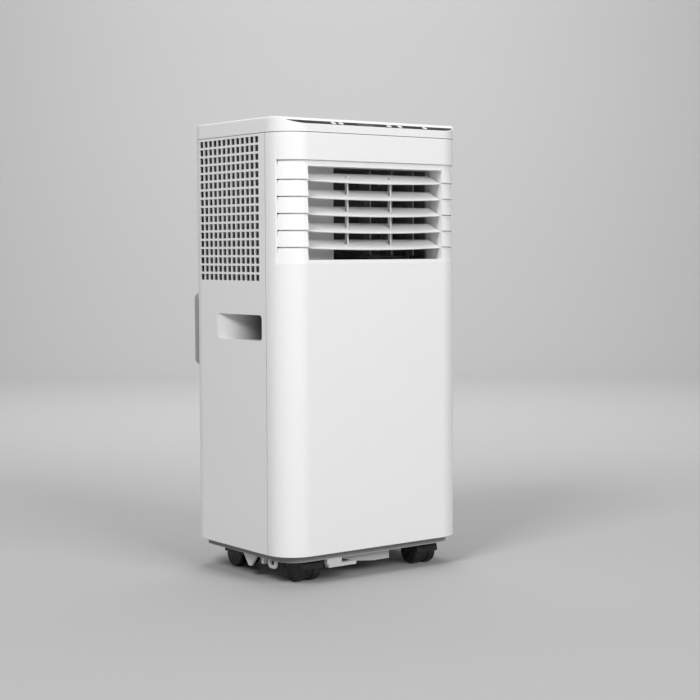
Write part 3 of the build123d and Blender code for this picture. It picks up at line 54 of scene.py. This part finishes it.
# ---------------------------------------------------------------- shader tools
class Wire:
    """A number carried by a shader socket. Arithmetic on it adds Math nodes."""

    def __init__(self, shader: "Shader", socket: bpy.types.NodeSocket) -> None:
        """Wraps one output socket of a shader."""
        self.shader = shader
        self.socket = socket

    def _math(self, operation: str, first: "Wire | float", second: "Wire | float" = 0.0) -> "Wire":
        """Adds one Math node.

        Args:
            operation: Blender's name of the operation.
            first: the first number.
            second: the second number.

        Returns:
            The result.
        """
        node = self.shader.node("ShaderNodeMath", {"operation": operation}, {0: first, 1: second})
        return Wire(self.shader, node.outputs[0])

    def __add__(self, other: "Wire | float") -> "Wire":
        """self + other."""
        return self._math("ADD", self, other)

    __radd__ = __add__

    def __sub__(self, other: "Wire | float") -> "Wire":
        """self - other."""
        return self._math("SUBTRACT", self, other)

    def __rsub__(self, other: float) -> "Wire":
        """other - self."""
        return self._math("SUBTRACT", other, self)

    def __mul__(self, other: "Wire | float") -> "Wire":
        """self * other."""
        return self._math("MULTIPLY", self, other)

    __rmul__ = __mul__

    def __truediv__(self, other: "Wire | float") -> "Wire":
        """self / other."""
        return self._math("DIVIDE", self, other)

    def __pow__(self, other: "Wire | float") -> "Wire":
        """self to the power of other."""
        return self._math("POWER", self, other)

    def sine(self) -> "Wire":
        """The sine of self, in radians."""
        return self._math("SINE", self)

    def absolute(self) -> "Wire":
        """The size of self without its sign."""
        return self._math("ABSOLUTE", self)

    def above(self, edge: float, soft: float) -> "Wire":
        """0 below edge and 1 above it, over a ramp that is 2 soft wide."""
        return self.ramp(edge - soft, edge + soft)

    def ramp(self, start: float, end: float) -> "Wire":
        """0 at start and 1 at end, with a soft step between them."""
        settings = {"interpolation_type": "SMOOTHSTEP"}
        inputs = {"Value": self, "From Min": start, "From Max": end}
        node = self.shader.node("ShaderNodeMapRange", settings, inputs)
        return Wire(self.shader, node.outputs["Result"])


class Shader:
    """One material under construction around a Principled shader."""

    def __init__(self, name: str) -> None:
        """Starts a material with a Principled shader and an output."""
        self.material = bpy.data.materials.new(name)
        self.material.use_nodes = True
        self.tree = self.material.node_tree
        self.tree.nodes.clear()
        self.surface = self.node("ShaderNodeBsdfPrincipled")
        self.output = self.node("ShaderNodeOutputMaterial", {}, {"Surface": self.surface.outputs[0]})
        self.place = self.node("ShaderNodeTexCoord").outputs["Object"]

    def node(self, kind: str, settings: dict | None = None, inputs: dict | None = None) -> bpy.types.Node:
        """Adds a node.

        Args:
            kind: the node's type.
            settings: its properties, set first.
            inputs: values, wires or sockets by input name or number.

        Returns:
            The node.
        """
        made = self.tree.nodes.new(kind)
        for key, value in (settings or {}).items():
            setattr(made, key, value)
        for key, value in (inputs or {}).items():
            if isinstance(value, Wire):
                value = value.socket
            if isinstance(value, bpy.types.NodeSocket):
                self.tree.links.new(value, made.inputs[key])
            else:
                made.inputs[key].default_value = value
        return made

    def stretched(self, scale: Colour) -> bpy.types.NodeSocket:
        """Object coordinates times a scale along each axis."""
        inputs = {"Vector": self.place, "Scale": scale}
        return self.node("ShaderNodeMapping", {"vector_type": "POINT"}, inputs).outputs[0]

    def noise(self, size: float, detail: float = 3.0, place: bpy.types.NodeSocket | None = None) -> Wire:
        """Soft noise from 0 to 1.

        Args:
            size: the size of its spots, in metres.
            detail: how many finer layers it has.
            place: coordinates, or None for the object's own.

        Returns:
            The noise.
        """
        inputs = {"Vector": place or self.place, "Scale": 1 / size, "Detail": detail}
        return Wire(self, self.node("ShaderNodeTexNoise", {}, inputs).outputs["Fac"])

    def cells(self, size: float, feature: str = "F1") -> Wire:
        """Distance to the nearest point of a cell pattern with cells of that size, in cells."""
        inputs = {"Vector": self.place, "Scale": 1 / size}
        node = self.node("ShaderNodeTexVoronoi", {"feature": feature}, inputs)
        return Wire(self, node.outputs["Distance"])

    def axis(self, letter: str) -> Wire:
        """One coordinate of the object's place, in metres."""
        return Wire(self, self.node("ShaderNodeSeparateXYZ", {}, {0: self.place}).outputs[letter])

    def blend(self, factor: Wire | float, first: object, second: object) -> bpy.types.NodeSocket:
        """Mixes two colours, each an RGB tuple or a socket."""
        pair = [(*c, 1.0) if isinstance(c, tuple) else c for c in (first, second)]
        made = self.node("ShaderNodeMix", {"data_type": "RGBA"}, {0: factor, 6: pair[0], 7: pair[1]})
        return made.outputs[2]

    def bump(
        self, height: Wire, distance: float, under: bpy.types.NodeSocket | None = None,
    ) -> bpy.types.NodeSocket:
        """Bends a normal by a height.

        Args:
            height: the height, from 0 to 1.
            distance: what a height of 1 stands for, in metres.
            under: the normal below it, or None for the surface's own.

        Returns:
            The bent normal.
        """
        inputs = {"Height": height, "Distance": distance, "Strength": 1.0}
        if under is not None:
            inputs["Normal"] = under
        return self.node("ShaderNodeBump", {}, inputs).outputs[0]

    def set(self, **inputs: object) -> None:
        """Sets inputs of the Principled shader.

        Args:
            inputs: numbers, colours, wires or sockets by input name, with _ for a space.
        """
        for key, value in inputs.items():
            socket = self.surface.inputs[key.replace("_", " ")]
            if isinstance(value, Wire):
                value = value.socket
            if isinstance(value, bpy.types.NodeSocket):
                self.tree.links.new(value, socket)
            else:
                socket.default_value = (*value, 1.0) if isinstance(value, tuple) else value


def tinted(colour: Colour, share: float) -> Colour:
    """A colour with every part multiplied by share."""
    return tuple(part * share for part in colour)


# ---------------------------------------------------------------- finishes
@dataclass(frozen=True)
class PaintedShade:
    """Painted shade along one axis, from a lit place to a shaded one, measured from the middle."""

    axis: str
    lit_end: float
    shaded_end: float
    share: float

    def over(self, shader: Shader, shade: bpy.types.NodeSocket, colour: Colour) -> bpy.types.NodeSocket:
        """Paints shade: blends a shade towards a darker share of a colour.

        Args:
            shader: the shader that the nodes go in.
            shade: the plastic's own shade, before the painted shade.
            colour: the colour that the shaded end takes its share of.

        Returns:
            The blended shade.
        """
        # painted shade: darker from the lit end to the shaded end of the axis
        dust_and_shade = shader.axis(self.axis).absolute().ramp(self.lit_end, self.shaded_end)
        return shader.blend(dust_and_shade, shade, tinted(colour, self.share))


@dataclass(frozen=True)
class MouldedPlastic:
    """Moulded plastic with a fine spark-eroded texture, faint flow clouds, slight surface waves and, where given,
    painted shade.
    """

    name: str
    colour: Colour
    roughness: float = 0.42
    grain: float = 0.55 * MM
    grain_depth: float = 0.02 * MM
    cloud: float = 0.025
    coat: float = 0.0
    painted_shade: PaintedShade | None = None

    def material(self) -> bpy.types.Material:
        """Builds the material: noise for the grain, wider noise for clouds and for the shine."""
        shader = Shader(self.name)
        clouds = shader.noise(90 * MM, 4.0)
        specks = shader.noise(3 * MM, 2.0)
        factor = (clouds - 0.5) * 2 * self.cloud + (specks - 0.5) * self.cloud + 0.5
        shade = shader.blend(factor, tinted(self.colour, 0.9), tinted(self.colour, 1.1))
        # painted shade along one axis, where the finish has it
        if self.painted_shade:
            shade = self.painted_shade.over(shader, shade, self.colour)
        shader.set(Base_Color=shade, Roughness=self.roughness + (clouds - 0.5) * 0.1 + (specks - 0.5) * 0.05)
        waves = shader.bump(shader.noise(45 * MM, 1.0), 0.05 * MM)
        shader.set(Normal=shader.bump(shader.noise(self.grain, 2.0), self.grain_depth, waves))
        shader.set(Coat_Weight=self.coat, Coat_Roughness=0.2, IOR=1.5)
        return shader.material


@dataclass(frozen=True)
class GlossPlastic:
    """Polished plastic or a clear window with faint wipe marks."""

    name: str
    colour: Colour
    roughness: float = 0.08
    gleam: float = 0.25

    def material(self) -> bpy.types.Material:
        """Builds the material: stretched noise for wipe marks, fine noise for dust."""
        shader = Shader(self.name)
        wipes = shader.noise(8 * MM, 3.0, shader.stretched((0.15, 1.0, 1.0)))
        dust = shader.noise(0.8 * MM, 2.0).above(0.68, 0.05)
        shader.set(Base_Color=shader.blend(dust * 0.25, self.colour, (0.16, 0.16, 0.165)))
        shader.set(Roughness=self.roughness + wipes.above(0.55, 0.12) * 0.08 + dust * 0.2)
        shader.set(Normal=shader.bump(shader.noise(30 * MM, 1.0), 0.02 * MM), Specular_IOR_Level=self.gleam)
        return shader.material


@dataclass(frozen=True)
class Rubber:
    """Matt rubber or nylon with scuffs and grey dust."""

    name: str
    colour: Colour
    roughness: float = 0.55
    dust: float = 0.2

    def material(self) -> bpy.types.Material:
        """Builds the material: noise for dust, stretched noise for scuffs, cells for the skin."""
        shader = Shader(self.name)
        dust_and_shade = shader.noise(12 * MM, 5.0).above(0.56, 0.14)
        scuffs = shader.noise(2.5 * MM, 3.0, shader.stretched((1.0, 1.0, 0.25))).above(0.63, 0.05)
        shade = shader.blend(dust_and_shade * self.dust, self.colour, (0.16, 0.155, 0.15))
        shader.set(Base_Color=shader.blend(scuffs * self.dust, shade, tinted(self.colour, 2.2)))
        shader.set(Roughness=self.roughness + dust_and_shade * 0.15 - scuffs * 0.1)
        skin = shader.bump(shader.cells(0.7 * MM), 0.03 * MM)
        shader.set(Normal=shader.bump(scuffs, -0.02 * MM, skin))
        return shader.material


@dataclass(frozen=True)
class Metal:
    """Bare or plated metal with drawn lines and blotches of tarnish."""

    name: str
    colour: Colour
    tarnish: Colour
    roughness: float = 0.32
    lines: Colour = (1.0, 1.0, 12.0)

    def material(self) -> bpy.types.Material:
        """Builds the material: stretched noise for drawn lines and wide noise for tarnish."""
        shader = Shader(self.name)
        drawn = shader.noise(3 * MM, 4.0, shader.stretched(self.lines))
        spots = shader.noise(14 * MM, 5.0).above(0.58, 0.12)
        shader.set(Base_Color=shader.blend(spots * 0.6, self.colour, self.tarnish))
        shader.set(Metallic=1.0 - spots * 0.25)
        shader.set(Roughness=self.roughness + spots * 0.2 + (drawn - 0.5) * 0.2)
        shader.set(Normal=shader.bump(drawn, 0.02 * MM))
        return shader.material


@dataclass(frozen=True)
class Fins:
    """A pack of thin aluminium fins, seen on edge."""

    name: str
    colour: Colour = (0.56, 0.57, 0.58)
    pitch: float = 1.6 * MM

    def material(self) -> bpy.types.Material:
        """Builds the material: a sine along X for the fins, noise for bent ones; the near-black troughs are
        painted shade in the gaps.
        """
        shader = Shader(self.name)
        bend = shader.noise(10 * MM, 2.0) * (0.6 * MM)
        wave = ((shader.axis("X") + bend) * (TAU / self.pitch)).sine() * 0.5 + 0.5
        # painted shade: near black between the fins
        shader.set(Base_Color=shader.blend(wave, (0.02, 0.02, 0.02), self.colour), Metallic=wave * 0.8)
        shader.set(Roughness=0.5 - wave * 0.15, Normal=shader.bump(wave, 0.5 * MM))
        return shader.material


@dataclass(frozen=True)
class Net:
    """A woven filter net: two families of threads at right angles."""

    name: str
    colour: Colour
    pitch: float = 1.3 * MM

    def material(self) -> bpy.types.Material:
        """Builds the material: the larger of two squared sines is thread, the rest is hole, painted as shade."""
        shader = Shader(self.name)
        turns = TAU / self.pitch / 2
        up = (shader.axis("Z") * turns).sine().absolute()
        across = ((shader.axis("X") + shader.axis("Y")) * turns).sine().absolute()
        thread = 1.0 - (1.0 - up.above(0.8, 0.1)) * (1.0 - across.above(0.8, 0.1))
        # painted shade: the holes are a darker share of the thread colour
        shader.set(Base_Color=shader.blend(thread, tinted(self.colour, 0.35), self.colour))
        shader.set(Roughness=0.75 - thread * 0.15, Normal=shader.bump(thread, 0.25 * MM))
        return shader.material


@dataclass(frozen=True)
class Board:
    """A circuit board: solder resist over tracks and pads."""

    name: str
    colour: Colour = (0.015, 0.11, 0.035)

    def material(self) -> bpy.types.Material:
        """Builds the material: cell borders stand for tracks and cell centres for pads."""
        shader = Shader(self.name)
        tracks = 1.0 - shader.cells(7 * MM, "DISTANCE_TO_EDGE").above(0.06, 0.02)
        pads = 1.0 - shader.cells(5 * MM).above(0.16, 0.02)
        shade = shader.blend(tracks, self.colour, tinted(self.colour, 2.0))
        shader.set(Base_Color=shader.blend(pads, shade, (0.6, 0.58, 0.52)), Metallic=pads * 0.8)
        shader.set(Roughness=0.32 + pads * 0.1, Normal=shader.bump(tracks + pads, 0.06 * MM))
        return shader.material


# painted shade: the louvre plastic darkens going in behind the blades
SHADE_BEHIND_BLADES = PaintedShade("Y", 107 * MM, 98 * MM, 0.22)
# painted shade: the pan's body under the case's overhang, above 36 mm, is darker than its feet
SHADE_UNDER_CASE = PaintedShade("Z", 36 * MM, 37 * MM, 0.4)
# painted shade: the handle pockets darken from the side's face towards their deep end
SHADE_DEEP_IN_POCKET = PaintedShade("X", 171 * MM, 136 * MM, 0.06)


class Finish(Enum):
    """Every finish of the machine, by the slot it belongs to."""

    shaded_pocket_plastic = MouldedPlastic("shaded_pocket_plastic", (0.83, 0.83, 0.83), painted_shade=SHADE_DEEP_IN_POCKET)
    grey_plastic = MouldedPlastic("grey_plastic", (0.36, 0.36, 0.37))
    white_shell = MouldedPlastic("white_shell", (0.83, 0.83, 0.83))
    louvre_plastic = MouldedPlastic("louvre_plastic", (0.76, 0.76, 0.76), 0.36, painted_shade=SHADE_BEHIND_BLADES)
    pan_plastic = MouldedPlastic(
        "pan_plastic", (0.66, 0.66, 0.66), 0.5, 0.9 * MM, 0.04 * MM, painted_shade=SHADE_UNDER_CASE,
    )
    button_caps = MouldedPlastic("button_caps", (0.78, 0.78, 0.78), 0.3)
    fan_plastic = MouldedPlastic("fan_plastic", (0.05, 0.05, 0.052), 0.5, 0.8 * MM, 0.04 * MM, 0.2)
    gloss_black = GlossPlastic("gloss_black", (0.003, 0.003, 0.0033), 0.3, 0.08)
    display_glass = GlossPlastic("display_glass", (0.018, 0.018, 0.022), 0.04)
    castor_black = Rubber("castor_black", (0.006, 0.006, 0.006), 0.4, 0.06)
    rubber_parts = Rubber("rubber_parts", (0.035, 0.035, 0.035), 0.65)
    zinc_steel = Metal("zinc_steel", (0.62, 0.62, 0.61), (0.3, 0.29, 0.27))
    copper_pipe = Metal("copper_pipe", (0.78, 0.38, 0.22), (0.28, 0.13, 0.07), 0.3)
    painted_can = MouldedPlastic("painted_can", (0.02, 0.02, 0.021), 0.35, 1.2 * MM, 0.08 * MM, 0.25, 0.3)
    coil_fins = Fins("coil_fins")
    filter_net = Net("filter_net", (0.12, 0.12, 0.125))
    board = Board("board")


def dress(thing: bpy.types.Object, material: bpy.types.Material) -> None:
    """Gives an object one material in every slot."""
    if not thing.material_slots:
        thing.data.materials.append(material)
    for place in thing.material_slots:
        place.material = material


# ---------------------------------------------------------------- studio
@dataclass(frozen=True)
class Lamp:
    """One square area light: where it hangs, the point it faces, its side and its power in watts."""

    name: str
    place: Colour
    aim: Colour
    size: float
    power: float


@dataclass
class Studio:
    """The pale floor with its seamless backdrop, the soft lights and the camera."""

    tone: Colour = (0.47, 0.47, 0.47)
    floor_share: float = 0.93
    half_width: float = 6.0
    front: float = -4.0
    back: float = 3.6
    sweep: float = 1.6
    height: float = 5.0
    azimuth: float = 36.95
    pitch: float = 3.60
    roll: float = -0.2465
    camera_place: Colour = (-1.4647, -2.0202, 0.4973)
    lens: float = 80.77
    world: float = 0.11
    lamps: tuple[Lamp, ...] = (
        Lamp("key", (0.1, -3.4, 2.2), (0, 0, 0.3), 1.8, 88),
        Lamp("top", (0.2, 0.1, 2.4), (0, 0, 0.5), 1.4, 12),
        Lamp("fill", (-2.4, -1.1, 2.7), (0, 0, 0.3), 1.2, 78),
        Lamp("wall", (1.2, 1.6, 3.4), (2.8, 4.0, 0.9), 2.4, 158),
    )

    def build(self) -> None:
        """Makes the backdrop, the lights and the camera."""
        self.backdrop()
        self.lights()
        self.camera()

    def backdrop(self) -> None:
        """A floor that turns up into a wall: a straight run, a quarter circle and a straight rise."""
        bend = np.linspace(0, math.pi / 2, 25)
        level = np.linspace(self.front, self.back, 9)
        run = np.concatenate([level, self.back + self.sweep * np.sin(bend[1:])])
        rise = np.concatenate([0 * level, self.sweep * (1 - np.cos(bend[1:]))])
        run = np.append(run, run[-1])
        rise = np.append(rise, self.height)
        across = np.linspace(-self.half_width, self.half_width, 9)
        yaw = math.radians(self.azimuth)
        x, y = np.meshgrid(across, run, indexing="xy")
        z = np.repeat(rise[:, None], across.size, axis=1)
        turned = (x * math.cos(yaw) + y * math.sin(yaw), y * math.cos(yaw) - x * math.sin(yaw), z)
        floor = surface("studio_floor", np.stack(turned, axis=-1))
        shader = Shader("studio_floor")
        cloud = shader.noise(0.8, 3.0)
        shade = shader.blend(cloud, tinted(self.tone, 0.99), tinted(self.tone, 1.01))
        height = shader.axis("Z").above(self.sweep / 2, self.sweep / 2)
        shader.set(Base_Color=shader.blend(height, tinted(self.tone, self.floor_share), shade))
        shader.set(Normal=shader.bump(shader.noise(2 * MM, 2.0), 0.02 * MM))
        shader.set(Roughness=0.9, Specular_IOR_Level=0.1)
        dress(floor, shader.material)

    def light(self, lamp: Lamp) -> None:
        """Hangs one lamp."""
        data = bpy.data.lights.new(lamp.name, "AREA")
        data.size = lamp.size
        data.energy = lamp.power
        holder = bpy.data.objects.new(lamp.name, data)
        holder.location = lamp.place
        ahead = Vector(lamp.aim) - Vector(lamp.place)
        holder.rotation_euler = ahead.to_track_quat("-Z", "Y").to_euler()
        bpy.context.scene.collection.objects.link(holder)

    def lights(self) -> None:
        """Hangs the lamps and sets a weak white world."""
        for lamp in self.lamps:
            self.light(lamp)
        world = bpy.data.worlds.new("studio_world")
        world.use_nodes = True
        back = world.node_tree.nodes["Background"]
        back.inputs["Color"].default_value = (1.0, 1.0, 1.0, 1.0)
        back.inputs["Strength"].default_value = self.world
        bpy.context.scene.world = world
        bpy.context.scene.view_settings.view_transform = "Standard"

    def camera(self) -> None:
        """A camera at azimuth and pitch, rolled a little about its own line of sight."""
        azimuth, pitch, roll = (math.radians(a) for a in (self.azimuth, self.pitch, self.roll))
        level = Vector((math.sin(azimuth), math.cos(azimuth), 0))
        ahead = level * math.cos(pitch) - Vector((0, 0, math.sin(pitch)))
        right = Vector((math.cos(azimuth), -math.sin(azimuth), 0))
        up = right.cross(ahead)
        turned_right = right * math.cos(roll) + up * math.sin(roll)
        turned_up = up * math.cos(roll) - right * math.sin(roll)
        data = bpy.data.cameras.new("camera")
        data.lens = self.lens
        data.sensor_width = 36.0
        holder = bpy.data.objects.new("camera", data)
        turn = Matrix((turned_right, turned_up, -ahead)).transposed()
        holder.matrix_world = Matrix.Translation(self.camera_place) @ turn.to_4x4()
        bpy.context.scene.collection.objects.link(holder)
        bpy.context.scene.camera = holder


# ---------------------------------------------------------------- surfaces
def surface(name: str, points: np.ndarray, closed: bool = False) -> bpy.types.Object:
    """A mesh over a grid of points, with one quad between each four neighbours.

    Args:
        name: the object's name.
        points: rows x columns x 3 places in metres.
        closed: joins the last column to the first.

    Returns:
        The object, at the origin, with smooth faces.
    """
    rows, columns = points.shape[:2]
    index = np.arange(rows * columns).reshape(rows, columns)
    if closed:
        index = np.append(index, index[:, :1], axis=1)
    corners = (index[:-1, :-1], index[:-1, 1:], index[1:, 1:], index[1:, :-1])
    quads = np.stack(corners, axis=-1).reshape(-1, 4)
    mesh = bpy.data.meshes.new(name)
    mesh.from_pydata(points.reshape(-1, 3).tolist(), [], quads.tolist())
    mesh.polygons.foreach_set("use_smooth", np.ones(len(mesh.polygons), dtype=bool))
    mesh.update()
    thing = bpy.data.objects.new(name, mesh)
    bpy.context.scene.collection.objects.link(thing)
    return thing


# ---------------------------------------------------------------- the machine's own nodes
@dataclass
class Casting:
    """The CAD nodes, each with its slot's finish and slightly rounded edges."""

    edge_width: float = 0.5 * MM
    edge_segments: int = 2
    weld: float = 0.002 * MM
    sharp: float = math.radians(28)
    plain: frozenset[str] = frozenset({"coil_fins", "filter_net", "board", "copper_pipe"})
    unsoftened: frozenset[str] = frozenset({"side_grille_left", "side_grille_right", "rear_housing"})
    pockets: frozenset[str] = frozenset({"handle_pocket_left", "handle_pocket_right"})
    materials: dict[str, bpy.types.Material] = field(default_factory=dict)

    def build(self) -> None:
        """Dresses every node by its slot."""
        for finish in Finish:
            self.materials[finish.name] = finish.value.material()
        slots = {part["node"]: part["material_slot"] for part in frame["record"]["subparts"]}
        for name, thing in frame["nodes"].items():
            # the handle pockets take the shell's white with painted shade deep inside
            finish = "shaded_pocket_plastic" if name in self.pockets else slots[name]
            dress(thing, self.materials[finish])
            if slots[name] not in self.plain and name not in self.unsoftened:
                self.soften(thing)

    def soften(self, thing: bpy.types.Object) -> None:
        """Rounds an object's sharp edges with modifiers: its triangles are welded, then bevelled."""
        weld = thing.modifiers.new("weld", "WELD")
        weld.merge_threshold = self.weld
        bevel = thing.modifiers.new("soft_edges", "BEVEL")
        bevel.width = self.edge_width
        bevel.segments = self.edge_segments
        bevel.limit_method = "ANGLE"
        bevel.angle_limit = self.sharp
        normals = thing.modifiers.new("even_normals", "WEIGHTED_NORMAL")
        normals.weight = 100


# ---------------------------------------------------------------- fine pieces
@dataclass
class DustNet:
    """The dark net behind one side grille, pinned along its border and bellied a little inwards."""

    side: str
    standoff: float = 5 * MM
    belly: float = 2 * MM
    ripple: float = 0.2 * MM
    margin: float = 1 * MM
    rows: int = 60
    columns: int = 48
    thickness: float = 0.4 * MM

    def build(self, material: bpy.types.Material) -> None:
        """Makes the net: its depth is belly times the product of two half sines, plus ripples."""
        low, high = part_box(f"side_grille_{self.side}")
        sign = -1 if self.side == "left" else 1
        across = np.linspace(low.y + self.margin, high.y - self.margin, self.columns)
        up = np.linspace(low.z + self.margin, high.z - self.margin, self.rows)
        y, z = np.meshgrid(across[::sign], up, indexing="xy")
        share_y = (y - across[0]) / (across[-1] - across[0])
        share_z = (z - up[0]) / (up[-1] - up[0])
        depth = self.standoff + self.belly * np.sin(math.pi * share_y) * np.sin(math.pi * share_z)
        depth += self.ripple * np.sin(5 * TAU * share_y) * np.sin(7 * TAU * share_z)
        inner = low.x if sign > 0 else high.x
        net = surface(f"dust_net_{self.side}", np.stack([inner - sign * depth, y, z], axis=-1))
        net.modifiers.new("thickness", "SOLIDIFY").thickness = self.thickness
        dress(net, material)
        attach(net, "casing")


@dataclass
class HubCap:
    """A dished cap with raised spokes, pressed on the outer face of one castor wheel.

    Heights are shares of lift, and places along the radius are shares of it.
    """

    castor: str
    side: int
    radius: float = 13.5 * MM
    lift: float = 0.9 * MM
    spokes: int = 6
    rings: int = 28
    turns: int = 96
    plate_height: float = 0.15
    spoke_height: float = 0.45
    rim_height: float = 0.6
    hub_height: float = 0.8
    rim_place: float = 0.93
    rim_width: float = 0.05
    hub_edge: float = 0.3
    hub_slope: float = 0.06
    border: float = 0.03

    def build(self, material: bpy.types.Material) -> None:
        """Makes the cap from heights over a disc.

        The height is a flat plate, plus spokes where a cosine of the angle is high, times half a
        sine along the radius, plus a bell curve for the rim and a ramp for the hub. At the border
        it falls to nothing.
        """
        wheels = frame["nodes"][f"castor_{self.castor}_wheels"]
        joint = next(j for j in frame["joints"] if j["name"] == f"castor_{self.castor}_roll")
        centre, axle = np.array(joint["pos_m"]), np.array(joint["axis"])
        corners = np.array([v.co for v in wheels.data.vertices]) - centre
        face = np.abs(corners @ axle).max()
        share = np.linspace(0.02, 1.0, self.rings)
        angle = np.linspace(0, TAU, self.turns, endpoint=False)[:: self.side]
        share, angle = np.meshgrid(share, angle, indexing="ij")
        spoke = np.clip(np.cos(self.spokes * angle) * 3 + 0.5, 0, 1)
        spoke *= np.sin(math.pi * np.clip(share * 1.3 - 0.2, 0, 1))
        rim = np.exp(-(((share - self.rim_place) / self.rim_width) ** 2))
        hub = np.clip((self.hub_edge - share) / self.hub_slope, 0, 1)
        height = self.plate_height + self.spoke_height * spoke
        height += self.rim_height * rim + self.hub_height * hub
        height *= self.lift * np.clip((1 - share) / self.border, 0, 1)
        upright = np.array([0.0, 0.0, 1.0])
        level = np.cross(upright, axle)
        reach = self.radius * share
        places = centre + (self.side * (face + height))[..., None] * axle
        places += (reach * np.cos(angle))[..., None] * level
        places += (reach * np.sin(angle))[..., None] * upright
        number = "a" if self.side > 0 else "b"
        cap = surface(f"hub_cap_{self.castor}_{number}", places, closed=True)
        dress(cap, material)
        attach(cap, f"castor_{self.castor}_wheels")


@dataclass
class FinePieces:
    """The small pieces that ride on the machine's own nodes."""

    castors: tuple[str, ...] = ("front_left", "front_right", "rear_left", "rear_right")

    def build(self, materials: dict[str, bpy.types.Material]) -> None:
        """Builds every fine piece with its slot's finish."""
        for side in ("left", "right"):
            DustNet(side).build(materials["filter_net"])
        for castor in self.castors:
            for side in (-1, 1):
                HubCap(castor, side).build(materials["castor_black"])


def main() -> None:
    logging.basicConfig(level=logging.INFO)
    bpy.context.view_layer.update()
    Studio().build()
    log.info("studio built")
    casting = Casting()
    casting.build()
    FinePieces().build(casting.materials)
    log.info("machine built")


if __name__ == "__main__":
    main()
